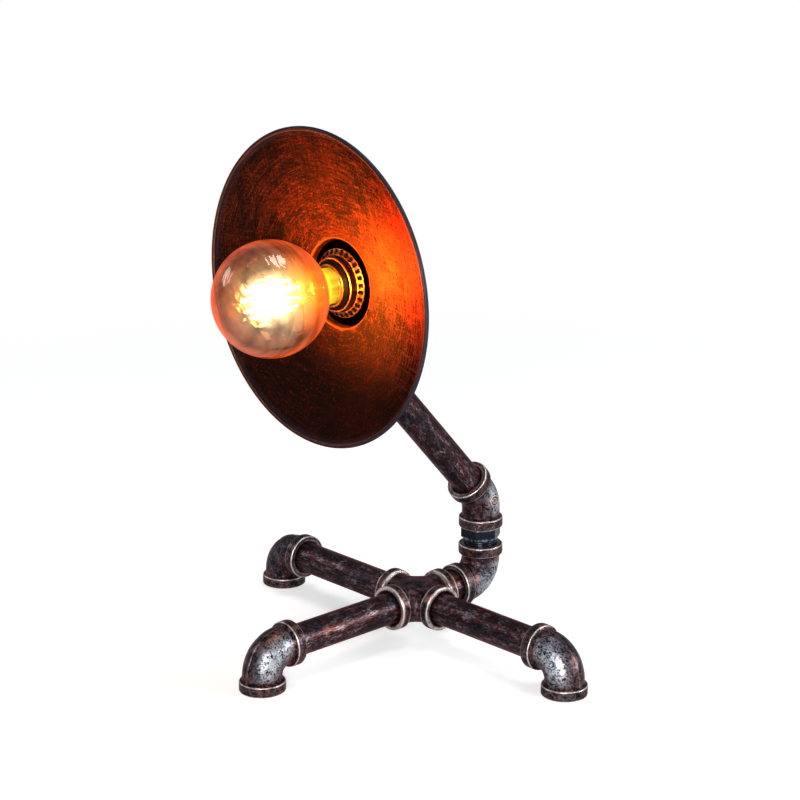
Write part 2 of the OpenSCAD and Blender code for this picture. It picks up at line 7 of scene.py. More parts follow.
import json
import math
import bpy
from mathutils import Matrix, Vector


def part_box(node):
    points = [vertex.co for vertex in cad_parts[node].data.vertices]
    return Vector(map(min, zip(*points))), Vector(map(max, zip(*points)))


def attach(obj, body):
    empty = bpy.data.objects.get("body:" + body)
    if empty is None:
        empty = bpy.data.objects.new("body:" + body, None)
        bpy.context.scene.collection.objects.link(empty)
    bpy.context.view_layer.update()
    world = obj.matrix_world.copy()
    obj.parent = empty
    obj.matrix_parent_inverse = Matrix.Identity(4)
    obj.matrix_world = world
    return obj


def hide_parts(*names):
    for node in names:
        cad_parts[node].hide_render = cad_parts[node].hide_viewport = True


bl_info = {
    "name": "Pipe table lamp",
    "version": (1, 0, 0),
    "blender": (4, 5, 0),
    "location": "View3D > Sidebar > Pipe lamp",
    "description": "Builds the castings, pipes, shade, lampholder and bulb of a pipe table lamp",
    "category": "Object",
}

import bmesh
import bpy
import numpy as np
from bpy.props import FloatProperty, FloatVectorProperty, IntProperty, PointerProperty
from mathutils import Matrix, Vector, noise

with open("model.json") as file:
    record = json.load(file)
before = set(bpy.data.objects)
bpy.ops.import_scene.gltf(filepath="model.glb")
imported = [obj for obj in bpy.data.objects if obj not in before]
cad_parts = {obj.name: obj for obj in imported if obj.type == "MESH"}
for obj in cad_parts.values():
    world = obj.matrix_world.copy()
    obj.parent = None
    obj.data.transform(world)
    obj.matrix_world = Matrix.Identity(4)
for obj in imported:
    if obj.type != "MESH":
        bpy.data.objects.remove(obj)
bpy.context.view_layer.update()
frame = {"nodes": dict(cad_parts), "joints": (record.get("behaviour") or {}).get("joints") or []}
MM = 0.001


# ---------- where the frame puts things, in millimetres ----------

def box_mm(node):
    """Low and high corner of a node of the frame."""
    return [[float(value / MM) for value in corner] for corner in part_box(node)]


def middle_mm(node, axis):
    """Middle of a node along one axis of the frame."""
    low, high = box_mm(node)
    return (low[axis] + high[axis]) / 2


def pivot_mm(name):
    """Place of a joint of the frame."""
    joint = next(j for j in frame["joints"] if j["name"] == name)
    return [value / MM for value in joint["pos_m"]]


PIPE_R, BORE_R, SOCKET_R = 12.0, 9.3, 12.06
PIPE_BEVEL = 0.8
BODY_R, BAND_R, BAND_ROUND = 14.8, 17.2, 1.1
ELBOW_BEND, ELBOW_STRAIGHT = 18.0, 11.2
ANGLE_BEND, ANGLE_STRAIGHT = 24.0, 14.2
THREAD_LENGTH, SOCKET_DEPTH = 12.0, 13.0
LEAN = math.radians(42)
NIPPLE_STACK = 14.4
WRAP_CELL = 0.62

AXIS_Z = middle_mm("cross_fitting", 2)
CROSS_Y = middle_mm("cross_fitting", 1)
CROSS_REACH = box_mm("cross_fitting")[1][0]
FRONT_Y = box_mm("front_foot")[0][1] + BAND_R
SIDE_X = box_mm("right_foot")[1][0] - BAND_R
RISER_Y = pivot_mm("arm_swing")[1]
RISER_FACE = box_mm("riser_elbow")[1][2]
HEAD_Y = pivot_mm("head_turn")[1]
HEAD_Z = middle_mm("shade", 2)
ANGLE_REACH = ANGLE_BEND * math.tan(LEAN / 2) + ANGLE_STRAIGHT
LOWER_BEND_Z = RISER_FACE + NIPPLE_STACK + ANGLE_REACH
UPPER_FACE = box_mm("upper_angle_elbow")[1][2]
UPPER_BEND_Z = UPPER_FACE - ANGLE_REACH
ARM_SPAN = math.hypot(RISER_Y - HEAD_Y, UPPER_BEND_Z - LOWER_BEND_Z)


def ahead(node):
    """Back and front of a node, as distances in front of the head's vertical axis."""
    low, high = box_mm(node)
    return HEAD_Y - high[1], HEAD_Y - low[1]


MOUTH = 24.0
SHEET = 1.2
SHADE_R, GLOBE_R = box_mm("shade")[1][0], box_mm("bulb_glass")[1][0]
PLATE_BACK, RIM_FRONT = ahead("shade")
PLATE_FRONT = PLATE_BACK + SHEET
SHADE_FLOOR = PLATE_FRONT + 4.8
GLOBE_CENTRE = ahead("bulb_glass")[1] - GLOBE_R
CAP_TIP = ahead("bulb_tip")[0]
CAP_BACK, CAP_FRONT = ahead("bulb_cap")
SHELL_BACK, SHELL_FRONT = ahead("holder_shell")
SHELL_R = 19.9
CORE_BACK, CORE_FRONT = ahead("holder_core")
SCREW_FRONT = ahead("screw_shell")[1]
CORD_SEAT = ELBOW_BEND + BODY_R - 1.7


def placed(x, y, z, rotation=None):
    """Matrix that turns a shape and then moves it."""
    return Matrix.Translation((x, y, z)) @ (rotation or Matrix.Identity(4))


def spin(degrees, axis):
    """Matrix of a turn about one axis."""
    return Matrix.Rotation(math.radians(degrees), 4, axis)


# Local +Z points out of the lamp's front and local +Y points up
ON_HEAD = placed(0, HEAD_Y, HEAD_Z, spin(90, "X"))
# Local +Z runs up the arm from the lower angle elbow's centre
ON_ARM = placed(0, RISER_Y, LOWER_BEND_Z, spin(math.degrees(LEAN), "X"))
# Local +Z points out of the riser elbow's back through its cord hole
IN_CORD_HOLE = placed(0, RISER_Y - ELBOW_BEND, AXIS_Z + ELBOW_BEND, spin(-115, "X"))


# ---------- user settings ----------

def length_choice(label, about, default, low, high):
    """A length in millimetres that the user may change."""
    return FloatProperty(name=label, description=about, default=default * MM, min=low * MM, max=high * MM,
                         unit="LENGTH")


def colour_choice(label, about, value):
    """A colour that the user may change."""
    return FloatVectorProperty(name=label, description=about, default=value, size=3, min=0.0, max=1.0,
                               subtype="COLOR")


class LampSizes(bpy.types.PropertyGroup):
    """Sizes of the finished castings, ring and filament"""

    band_width: length_choice("Band width", "Width of the band round a fitting's mouth", 8.0, 5.0, 9.0)
    rib_height: length_choice("Parting rib", "Height of the parting line on a bend", 0.5, 0.0, 1.0)
    unevenness: length_choice("Casting unevenness", "How far a casting's skin wanders", 0.16, 0.0, 0.5)
    mouth_bevel: length_choice("Mouth bevel", "Bevel round the mouth of a socket", 1.6, 0.5, 2.0)
    ring_teeth: IntProperty(name="Ring teeth", description="Teeth round the ring that clamps the shade",
                            default=28, min=16, max=32)
    filament_loops: IntProperty(name="Filament loops", description="Hanging loops of the filament",
                                default=8, min=5, max=10)
    filament_wire: length_choice("Filament thickness", "Thickness of the filament", 1.05, 0.4, 1.2)


class LampColours(bpy.types.PropertyGroup):
    """Colours of the finishes"""

    iron_dark: colour_choice("Dark iron", "Ground colour of the castings and pipes", (0.022, 0.020, 0.026))
    iron_rust: colour_choice("Rust brown", "Warm brown of the castings and pipes", (0.090, 0.024, 0.019))
    copper_patch: colour_choice("Copper patch", "Orange wear patches", (0.34, 0.085, 0.03))
    pewter: colour_choice("Pewter", "Worn bright metal", (0.46, 0.49, 0.56))
    black_metal: colour_choice("Black nipple", "The hexagon nipples", (0.010, 0.012, 0.018))
    shade_copper: colour_choice("Shade copper", "Inside of the shade", (0.080, 0.0134, 0.0052))
    shade_dark: colour_choice("Shade patina", "Dark patina of the shade", (0.0095, 0.0052, 0.0044))
    brass: colour_choice("Brass", "Contact and terminal screws inside the lampholder", (0.66, 0.44, 0.15))
    glass_tint: colour_choice("Glass tint", "Tint at the outline of the bulb", (0.80, 0.30, 0.10))
    glow: colour_choice("Filament glow", "Light of the filament", (1.0, 0.46, 0.12))


def sizes():
    """The user's sizes."""
    return bpy.context.scene.pipe_lamp_sizes


def tones():
    """The user's colours."""
    return bpy.context.scene.pipe_lamp_colours


# ---------- meshes ----------

def shown(name, data):
    """A new object in the scene."""
    item = bpy.data.objects.new(name, data)
    bpy.context.scene.collection.objects.link(item)
    return item


def removed(items):
    """Takes objects and their meshes away."""
    for item in items:
        mesh = item.data
        bpy.data.objects.remove(item)
        bpy.data.meshes.remove(mesh)


def smoothed(mesh, sharp=40):
    """Shades a mesh smooth, apart from the edges above an angle."""
    mesh.polygons.foreach_set("use_smooth", [True] * len(mesh.polygons))
    mesh.set_sharp_from_angle(angle=math.radians(sharp))


def noted(layers, name, kind, field, values):
    """Writes values to a new layer of a mesh, unless there are none."""
    if values is not None:
        layer = layers.new(name=name, **kind)
        layer.data.foreach_set(field, np.asarray(values, dtype=np.float32).ravel())


def mesh_object(name, points, faces, matrix, worn=None, uv=None, marks=None, sharp=40):
    """Makes an object from millimetre points; its place goes into the mesh."""
    mesh = bpy.data.meshes.new(name)
    place = np.array(matrix)
    world = points @ place[:3, :3].T + place[:3, 3]
    mesh.from_pydata((world * MM).tolist(), [], faces)
    noted(mesh.uv_layers, "skin", {}, "uv", uv)
    # Wear values: real wear on edges, and partly painted highlights on cheeks, shade edges and ring teeth
    noted(mesh.attributes, "worn", {"type": "FLOAT", "domain": "POINT"}, "value", worn)
    noted(mesh.attributes, "lathe", {"type": "FLOAT_VECTOR", "domain": "POINT"}, "vector", marks)
    bm = bmesh.new()
    bm.from_mesh(mesh)
    bmesh.ops.remove_doubles(bm, verts=bm.verts, dist=1e-6)
    bmesh.ops.recalc_face_normals(bm, faces=bm.faces)
    bm.to_mesh(mesh)
    bm.free()
    smoothed(mesh, sharp)
    return shown(name, mesh)


def grid_faces(rows, columns, closed_rows):
    """Quads of a grid that is closed round its columns, and round its rows if asked."""
    row = np.arange(rows if closed_rows else rows - 1)[:, None]
    column = np.arange(columns)[None, :]
    after, beside = (row + 1) % rows, (column + 1) % columns
    here, there = row * columns, after * columns
    corners = [here + column, here + beside, there + beside, there + column]
    return np.stack(corners, -1).reshape(-1, 4).tolist()


def grid_uv(lengths, girth, rows, columns, closed_rows):
    """Corner UVs in metres: u round the piece, v along it."""
    along = np.asarray(lengths) * MM
    count = rows if closed_rows else rows - 1
    row = np.arange(count)
    round_piece = np.arange(columns + 1) / columns * girth * MM
    v0, v1 = (np.repeat(along[r][:, None], columns, 1) for r in (row, (row + 1) % rows))
    u0, u1 = (np.repeat(u[None], count, 0) for u in (round_piece[:-1], round_piece[1:]))
    return np.stack([u0, v0, u1, v0, u1, v1, u0, v1], -1).reshape(-1, 2)


def wander(points, amount, seed):
    """Smooth random offset at each point, for the uneven skin of a casting."""
    lump_size = 9.0
    return np.array([amount * noise.noise(Vector(p) / lump_size + Vector((seed, 0, 0))) for p in points])


def with_wear(profile):
    """Adds a wear of none to profile points that have none."""
    return [(*point, 0.0)[:3] for point in profile]


def lathe(name, profile, matrix, steps=96, closed=True, wave=None, uneven=0.0, sharp=40):
    """Turns a profile of (height, radius, wear) about local Z.

    wave(angle, height, radius) may change the radius. Wear is the share of bright metal on an edge, and on
    the shade's edges and the ring's teeth it is partly a painted highlight; below zero it marks polished
    cheeks, partly a painted highlight, or the back of the shade.
    """
    profile = np.array(with_wear(profile), dtype=float)
    rows = len(profile)
    angles = np.arange(steps) / steps * 2 * math.pi
    height, radius, worn = (np.repeat(profile[:, k:k + 1], steps, 1) for k in range(3))
    angle = np.repeat(angles[None], rows, 0)
    if wave is not None:
        radius = wave(angle, height, radius)
    points = np.stack([radius * np.cos(angle), radius * np.sin(angle), height], -1).reshape(-1, 3)
    if uneven:
        shift = wander(points, uneven, profile[0, 1])
        points[:, :2] *= (1 + shift / np.maximum(radius.ravel(), 1.0))[:, None]
    marks = np.stack([radius * MM, np.cos(angle), np.sin(angle)], -1)
    lengths = np.concatenate([[0], np.cumsum(np.hypot(*np.diff(profile[:, :2], axis=0).T))])
    uv = grid_uv(lengths, 2 * math.pi * profile[:, 1].max(), rows, steps, closed)
    return mesh_object(name, points, grid_faces(rows, steps, closed), matrix, worn, uv, marks, sharp)


def arc(height, radius, size, start, end, steps, wear=1.0):
    """Rounded corner of a profile: centre, radius, and angles measured from the axis direction."""
    return [(height + size * math.cos(math.radians(a)), radius + size * math.sin(math.radians(a)), wear)
            for a in np.linspace(start, end, steps + 1)]


def rubbed_arc(height, radius, size, start, end, steps=6):
    """Rounded corner whose middle is rubbed bright."""
    corner = arc(height, radius, size, start, end, steps)
    return [(z, r, math.sin(math.pi * i / steps) ** 1.5) for i, (z, r, _) in enumerate(corner)]


def evenly(start, end, count, radius, wear=0.0):
    """Evenly spaced profile points on one radius."""
    return [(z, radius, wear) for z in np.linspace(start, end, count)]


def band_end(body, width, bevel, inner):
    """Profile of a socket's end from its inner bevel over its rounded band to the body."""
    band = body + BAND_R - BODY_R
    return ([(bevel, inner, 0.0), (0.0, inner + bevel, 0.35)]
            + rubbed_arc(BAND_ROUND, band - BAND_ROUND, BAND_ROUND, 180, 90)
            + [(width * 0.25, band, 0.03), (width * 0.5, band, 0.0), (width * 0.75, band, 0.03)]
            + rubbed_arc(width - BAND_ROUND, band - BAND_ROUND, BAND_ROUND, 90, 12)
            + [(width + 0.35, body + 0.9, 0.0), (width + 1.2, body, 0.0), (width + 2.2, body, 0.0)])


def bend_path(s, turn, bend, straight):
    """Centre and outward direction along a bend in the XZ plane, from +X towards +Z."""
    tangent = bend * math.tan(turn / 2)
    a = np.clip((s - straight) / bend, 0, turn)
    before = np.minimum(s - straight, 0)
    after = np.maximum(s - straight - bend * turn, 0)
    centre = np.stack([-tangent + bend * np.sin(a) + before + after * math.cos(turn), 0 * s,
                       bend - bend * np.cos(a) + after * math.sin(turn)], -1)
    outward = np.stack([np.sin(a), 0 * s, -np.cos(a)], -1)
    return centre, outward


def cast_elbow(name, turn, bend, straight, matrix, pad_side=0, seed=0.0, rub=1.0):
    """A banded elbow, open at both mouths, with a parting rib on the outside of its bend.

    Its cheeks are polished bright, partly as a painted highlight, as strongly as the last argument asks; this
    is written as negative wear.
    """
    size = sizes()
    width, bevel, rib = size.band_width / MM, size.mouth_bevel / MM, size.rib_height / MM
    total = 2 * straight + bend * turn
    end = band_end(BODY_R, width, bevel, SOCKET_R)
    middle = evenly(width + 3.2, total - width - 3.2, 30, BODY_R)
    outer = end + middle + [(total - s, r, w) for s, r, w in reversed(end)]
    far = total - SOCKET_DEPTH
    bore = ([(far, SOCKET_R, 0), (far, BORE_R, 0)] + evenly(far - 2, SOCKET_DEPTH + 2, 14, BORE_R)
            + [(SOCKET_DEPTH, BORE_R, 0), (SOCKET_DEPTH, SOCKET_R, 0)])
    profile = np.array(outer + bore, dtype=float)
    near_rib = [-6, -4.2, -3.1, -2.2, 0, 2.2, 3.1, 4.2, 6]
    angles = np.radians(near_rib + list(np.linspace(9, 351, 96)))
    rows, steps = len(profile), len(angles)
    centre, outward = bend_path(profile[:, 0], turn, bend, straight)
    _, radius, worn = (np.repeat(profile[:, k:k + 1], steps, 1) for k in range(3))
    is_body = (np.abs(profile[:, 1] - BODY_R) < 1e-6)[:, None]
    from_rib = np.abs((angles + math.pi) % (2 * math.pi) - math.pi)[None]
    bump = np.clip((math.radians(4.2) - from_rib) / math.radians(2.0), 0, 1)
    radius = radius + is_body * rib * bump
    side = np.array([0.0, 1.0, 0.0])
    ring = np.cos(angles)[None, :, None] * outward[:, None, :] + np.sin(angles)[None, :, None] * side
    points = (centre[:, None, :] + radius[..., None] * ring).reshape(-1, 3)
    skin = np.repeat((profile[:, 1] > SOCKET_R + 0.5)[:, None], steps, 1).ravel()
    shift = wander(points, size.unevenness / MM, seed) * skin
    points += shift[:, None] * ring.reshape(-1, 3)
    s = profile[:, 0]
    bend_share = np.clip((s - width - 2) * (total - width - 2 - s) / (total / 2 - width - 2) ** 2, 0, 1)
    # The cheeks on both sides of the bend are polished bright; this is partly a painted highlight.
    cheek_highlight = np.exp(-((from_rib - math.radians(66)) / math.radians(38)) ** 2)
    worn = worn + is_body * (0.12 * bump - rub * bend_share[:, None] ** 0.5 * cheek_highlight)
    uv = grid_uv(profile[:, 0], 2 * math.pi * BODY_R, rows, steps, True)
    made = mesh_object(name, points, grid_faces(rows, steps, True), matrix, worn, uv)
    if pad_side:
        pad = cast_pad(name + "_pad", matrix @ spin(90 * pad_side, "X") @ placed(0, 0, BODY_R - 2))
        made = joined(made, [pad])
    return made


def cast_pad(name, matrix):
    """Plain round pad with a shallow ring groove."""
    profile = [(0, 0), (0, 4.5)] + arc(2.3, 4.2, 0.3, 90, 0, 4, 0.8)
    profile += [(2.6, 3.6, 0.5), (2.25, 3.4), (2.25, 2.7), (2.6, 2.5, 0.6), (2.62, 1.2, 0.3), (2.64, 0, 0.3)]
    return lathe(name, profile, matrix, 48, closed=False)


def joined(target, others):
    """Merges meshes into the first object."""
    bm = bmesh.new()
    for item in [target, *others]:
        bm.from_mesh(item.data)
    bm.to_mesh(target.data)
    bm.free()
    removed(others)
    return target


def cut_with(target, cutters):
    """Takes closed cutter meshes out of an object."""
    for cutter in cutters:
        modifier = target.modifiers.new("cut", "BOOLEAN")
        modifier.operation = "DIFFERENCE"
        modifier.solver = "EXACT"
        modifier.object = cutter
    baked(target)
    removed(cutters)
    target.data.set_sharp_from_angle(angle=math.radians(40))
    return target


def baked(target):
    """Turns an object's modifiers into its plain mesh."""
    bpy.context.view_layer.update()
    whole = target.evaluated_get(bpy.context.evaluated_depsgraph_get())
    fresh = bpy.data.meshes.new_from_object(whole)
    target.modifiers.clear()
    target.data = fresh
    return target


def wrap_solid(name, field, low, high, matrix, wear):
    """Wraps a smooth closed mesh round the space where field(x, y, z) is below zero."""
    cell = WRAP_CELL
    axes = [np.arange(a, b + cell, cell) for a, b in zip(low, high)]
    f = field(*np.meshgrid(*axes, indexing="ij"))
    cells = tuple(n - 1 for n in f.shape)
    total, count = np.zeros(cells + (3,)), np.zeros(cells)

    def corner(offset):
        return f[tuple(slice(o, o + n) for o, n in zip(offset, cells))]

    for axis in range(3):
        others = [k for k in range(3) if k != axis]
        for first, second in ((0, 0), (0, 1), (1, 0), (1, 1)):
            offset = [0, 0, 0]
            offset[others[0]], offset[others[1]] = first, second
            beyond = list(offset)
            beyond[axis] = 1
            a, b = corner(offset), corner(beyond)
            crosses = (a < 0) != (b < 0)
            share = np.where(crosses, a / np.where(crosses, a - b, 1), 0)
            count += crosses
            for k in range(3):
                total[..., k] += crosses * (share if k == axis else offset[k])
    active = count > 0
    number = np.full(cells, -1)
    number[active] = np.arange(active.sum())
    points = (np.argwhere(active) + total[active] / count[active][:, None]) * cell + np.array(low)
    faces = []
    for axis in range(3):
        b, c = (axis + 1) % 3, (axis + 2) % 3
        here = [slice(1, -1)] * 3
        there = [slice(1, -1)] * 3
        here[axis], there[axis] = slice(0, -1), slice(1, None)
        sign0, sign1 = f[tuple(here)] < 0, f[tuple(there)] < 0
        spots = np.argwhere(sign0 != sign1)
        entering = sign1[tuple(spots.T)]
        base = spots + 1
        base[:, axis] -= 1
        quad = []
        for db, dc in ((-1, -1), (0, -1), (0, 0), (-1, 0)):
            spot = base.copy()
            spot[:, b] += db
            spot[:, c] += dc
            quad.append(number[tuple(spot.T)])
        quad = np.stack(quad, -1)
        quad[entering] = quad[entering][:, ::-1]
        faces.append(quad)
    for _ in range(4):
        value = field(*points.T)
        slope = np.stack([field(*(points + d).T) - field(*(points - d).T)
                          for d in np.eye(3) * 0.05], -1) / 0.1
        step = value / np.maximum((slope ** 2).sum(-1), 0.25)
        points -= np.clip(step, -cell / 2, cell / 2)[:, None] * slope
    return mesh_object(name, points, np.concatenate(faces).tolist(), matrix, wear(*points.T), sharp=50)


def melt(a, b, size):
    """Smooth union of two distance fields."""
    blend = np.maximum(size - np.abs(a - b), 0) / size
    return np.minimum(a, b) - blend * blend * size / 4


def drum(q, a, radius, start, end, rounding):
    """Distance field of a rounded drum: q from its axis, a along it."""
    dq = q - radius + rounding
    da = np.abs(a - (start + end) / 2) - (end - start) / 2 + rounding
    return np.minimum(np.maximum(dq, da), 0) + np.hypot(np.maximum(dq, 0), np.maximum(da, 0)) - rounding


def dome(q, z, radius, depth):
    """Distance field of a round bowl that closes behind z = 0."""
    return (np.hypot(q / radius, np.minimum(z, 0) / depth) - 1) * depth


def socket_hollow(q, depth, bevel):
    """Distance field of the space cut from a socket; depth runs inwards from its face."""
    tube = np.maximum(q - SOCKET_R, depth - SOCKET_DEPTH)
    cone = np.maximum((q - SOCKET_R - bevel + depth) * 0.707, depth - bevel - 1)
    return np.minimum(tube, cone)


def rubbed_rims(depth, width):
    """Wear of a band's two rims; depth runs inwards from its face."""
    return np.exp(-((depth - 0.5) / 0.9) ** 2) + np.exp(-((depth - width + 0.5) / 0.9) ** 2)


def dressed(item, node, body, material):
    """Gives a piece its finish and its place in the frame's table."""
    item.data.materials.clear()
    item.data.materials.append(material)
    item.data.polygons.foreach_set("material_index", [0] * len(item.data.polygons))
    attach(item, body)
    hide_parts(node)


def finished_node(node, material):
    """Keeps a CAD node and gives it a finish."""
    for slot in frame["nodes"][node].material_slots:
        slot.material = material


# ---------- nodes ----------

class Nodes:
    """Fills a node tree node by node; inputs are linked or set by name or number."""

    def __init__(self, tree):
        self.tree = tree
        tree.nodes.clear()

    def add(self, kind, inputs=None, **settings):
        node = self.tree.nodes.new(kind)
        for key, value in settings.items():
            setattr(node, key, value)
        for key, value in (inputs or {}).items():
            socket = node.inputs[key]
            if isinstance(value, bpy.types.NodeSocket):
                self.tree.links.new(value, socket)
            elif socket.type == "RGBA":
                socket.default_value = (*value, 1.0)
            else:
                socket.default_value = value
        return node

    def math(self, operation, first, second=0.0, clamp=False):
        node = self.add("ShaderNodeMath", {0: first, 1: second}, operation=operation, use_clamp=clamp)
        return node.outputs[0]

    def times(self, first, second):
        return self.math("MULTIPLY", first, second)

    def most(self, first, second):
        return self.math("MAXIMUM", first, second)

    def shader(self, kind, **inputs):
        """A shader whose inputs are given with _ for a space."""
        named = {key.replace("_", " "): value for key, value in inputs.items()}
        return self.add(kind, named).outputs[0]

    def mix_shader(self, share, first, second):
        return self.add("ShaderNodeMixShader", {0: share, 1: first, 2: second}).outputs[0]

    def seen_plainly(self):
        """One for camera and transmission rays, zero for all others."""
        path = self.add("ShaderNodeLightPath").outputs
        return self.most(path["Is Camera Ray"], path["Is Transmission Ray"])


class Finish(Nodes):
    """A material made node by node; place is the position on the piece."""

    def __init__(self, name):
        self.material = bpy.data.materials.new(name)
        self.material.use_nodes = True
        super().__init__(self.material.node_tree)
        self.place = self.add("ShaderNodeTexCoord").outputs["Object"]

    def noise(self, vector, scale, detail, roughness=0.55, distortion=0.0):
        given = {"Vector": vector, "Scale": scale, "Detail": detail, "Roughness": roughness,
                 "Distortion": distortion}
        return self.add("ShaderNodeTexNoise", given).outputs["Fac"]

    def mapped(self, vector, scale, turn=(0.0, 0.0, 0.0)):
        given = {"Vector": vector, "Rotation": turn, "Scale": scale}
        return self.add("ShaderNodeMapping", given).outputs["Vector"]

    def stretched(self, vector, scale, *about, turn=(0.0, 0.0, 0.0)):
        """Noise of scale 1 on a vector that is turned and stretched; about is its detail and so on."""
        return self.noise(self.mapped(vector, scale, turn), 1.0, *about)

    def ramp(self, value, *stops):
        """Colour ramp of (position, value or colour)."""
        node = self.add("ShaderNodeValToRGB", {"Fac": value})
        elements = node.color_ramp.elements
        for index, (position, tone) in enumerate(stops):
            element = elements[index] if index < 2 else elements.new(position)
            element.position = position
            element.color = (*tone, 1.0) if hasattr(tone, "__len__") else (tone, tone, tone, 1.0)
        return node.outputs["Color"]

    def mix(self, factor, first, second):
        """Mix of two colours."""
        return self.add("ShaderNodeMix", {0: factor, 6: first, 7: second}, data_type="RGBA").outputs[2]

    def blend(self, first, share, second, other_share):
        """Weighted sum of two values."""
        return self.math("ADD", self.times(first, share), self.times(second, other_share))

    def axis(self, vector, index):
        return self.add("ShaderNodeSeparateXYZ", {0: vector}).outputs[index]

    def span(self, value, start, end, low=0.0, high=1.0, kind="LINEAR"):
        """Brings a value from one range to another."""
        given = {"Value": value, "From Min": start, "From Max": end, "To Min": low, "To Max": high}
        return self.add("ShaderNodeMapRange", given, interpolation_type=kind).outputs[0]

    def facing(self):
        """Zero where a surface faces the eye and one at its outline."""
        return self.add("ShaderNodeLayerWeight", {"Blend": 0.5}).outputs["Facing"]

    def attribute(self, name, output="Fac"):
        return self.add("ShaderNodeAttribute", attribute_name=name).outputs[output]

    def bump(self, height, strength, distance, normal=None):
        given = {"Height": height, "Strength": strength, "Distance": distance}
        if normal is not None:
            given["Normal"] = normal
        return self.add("ShaderNodeBump", given).outputs["Normal"]

    def surface(self, colour, metallic, roughness, normal, **more):
        """Ends a metal or moulded finish."""
        return self.done(self.shader("ShaderNodeBsdfPrincipled", Base_Color=colour, Metallic=metallic,
                                     Roughness=roughness, Normal=normal, **more))

    def done(self, shader):
        self.add("ShaderNodeOutputMaterial", {"Surface": shader})
        return self.material


# ---------- materials ----------

IRON_SHEEN = {"Specular_IOR_Level": 0.2, "Specular_Tint": (0.62, 0.60, 0.64)}
COPPER_SCRATCH = (0.20, 0.036, 0.009)


def finish(name, recipe, *about):
    """The material of that name; recipe makes it the first time."""
    return bpy.data.materials.get(name) or recipe(Finish(name), *about)


def rust_and_outline_sheen(f, mottle, patch, hollow, black, outline, red):
    """Dark iron with brown clouds, copper patches and black hollows, and a painted red sheen towards its
    outline.
    """
    c = tones()
    ground = f.mix(f.ramp(mottle, (0.42, 0.0), (0.60, 1.0)), c.iron_dark, c.iron_rust)
    ground = f.mix(patch, ground, c.copper_patch)
    ground = f.mix(hollow, ground, black)
    return f.mix(outline, ground, red)


def worn_casting(f):
    """Dark cast iron with brown clouds, pewter grain, rubbed edges, and polished cheeks that are partly a
    painted highlight.
    """
    c = tones()
    cloud = f.noise(f.place, 62.0, 4.0, 0.6, 0.5)
    lump = f.noise(f.place, 190.0, 4.0, 0.6, 0.3)
    grain = f.noise(f.place, 760.0, 4.0, 0.62)
    patch = f.times(f.ramp(f.noise(f.place, 40.0, 4.0, 0.6, 0.9), (0.60, 0.0), (0.70, 1.0)),
                    f.ramp(grain, (0.38, 0.2), (0.56, 1.0)))
    hollow = f.ramp(f.blend(lump, 0.6, grain, 0.4), (0.40, 0.92), (0.53, 0.0))
    # A painted red sheen towards the outline of the casting.
    outline = f.ramp(f.facing(), (0.60, 0.0), (0.94, 0.85))
    ground = rust_and_outline_sheen(f, f.blend(cloud, 0.55, lump, 0.45), f.times(patch, 0.75), hollow, (0.004, 0.003, 0.004),
                    outline, (0.24, 0.024, 0.022))
    worn = f.attribute("worn")
    edge = f.math("MULTIPLY", worn, f.ramp(lump, (0.34, 0.35), (0.50, 1.0)), clamp=True)
    pits = f.ramp(f.blend(lump, 0.35, grain, 0.65), (0.41, 0.0), (0.55, 1.0))
    # Polished cheeks in a blue-white pewter, partly a painted highlight.
    polish_and_highlight = f.times(f.math("MULTIPLY", worn, -1.0, clamp=True), pits)
    silver = f.times(f.ramp(grain, (0.48, 0.04), (0.68, 0.5)), f.ramp(lump, (0.42, 0.04), (0.64, 0.7)))
    silver = f.most(silver, f.times(polish_and_highlight, f.ramp(cloud, (0.30, 0.55), (0.56, 1.0))))
    colour = f.mix(silver, ground, f.mix(polish_and_highlight, c.pewter, (0.72, 0.78, 0.86)))
    colour = f.mix(edge, colour, f.mix(cloud, (0.80, 0.76, 0.76), (0.78, 0.60, 0.54)))
    metallic = f.ramp(f.most(silver, edge), (0.0, 0.88), (1.0, 0.95))
    normal = f.bump(grain, 0.6, 0.0003, f.bump(lump, 0.5, 0.0007))
    return f.surface(colour, metallic, f.ramp(grain, (0.25, 0.32), (0.75, 0.44)), normal, **IRON_SHEEN)


def brushed_pipe(f):
    """Dark pipe brushed along its length, with pewter streaks and copper patches."""
    skin = f.add("ShaderNodeUVMap", uv_map="skin").outputs["UV"]

    def brushed_noise(stretch, *about):
        return f.noise(f.mapped(skin, (1.0, stretch, 1.0)), *about)

    brushed = brushed_noise(0.30, 1000.0, 4.0, 0.62)
    streak = brushed_noise(0.28, 330.0, 5.0, 0.62)
    cloud = brushed_noise(0.55, 75.0, 5.0, 0.6, 0.5)
    grain = f.noise(f.place, 520.0, 4.0, 0.6)
    patch = f.times(f.ramp(f.noise(f.place, 36.0, 4.0, 0.6, 0.8), (0.61, 0.0), (0.73, 1.0)),
                    f.ramp(brushed, (0.38, 0.1), (0.56, 1.0)))
    hollow = f.ramp(brushed, (0.38, 0.9), (0.52, 0.0))
    # A painted red sheen towards the outline of the pipe.
    outline = f.ramp(f.facing(), (0.56, 0.0), (0.92, 0.88))
    ground = rust_and_outline_sheen(f, f.blend(cloud, 0.6, grain, 0.4), f.times(patch, 0.7), hollow, (0.003, 0.002, 0.003),
                    outline, (0.26, 0.024, 0.022))
    silver = f.times(f.ramp(streak, (0.47, 0.0), (0.64, 0.7)), f.ramp(brushed, (0.44, 0.1), (0.58, 1.0)))
    silver = f.times(silver, f.ramp(cloud, (0.42, 0.15), (0.62, 0.9)))
    normal = f.bump(brushed, 0.35, 0.00015, f.bump(grain, 0.35, 0.00022))
    return f.surface(f.mix(silver, ground, tones().pewter), f.ramp(silver, (0.0, 0.88), (1.0, 0.95)),
                     f.ramp(brushed, (0.25, 0.30), (0.75, 0.46)), normal, **IRON_SHEEN)


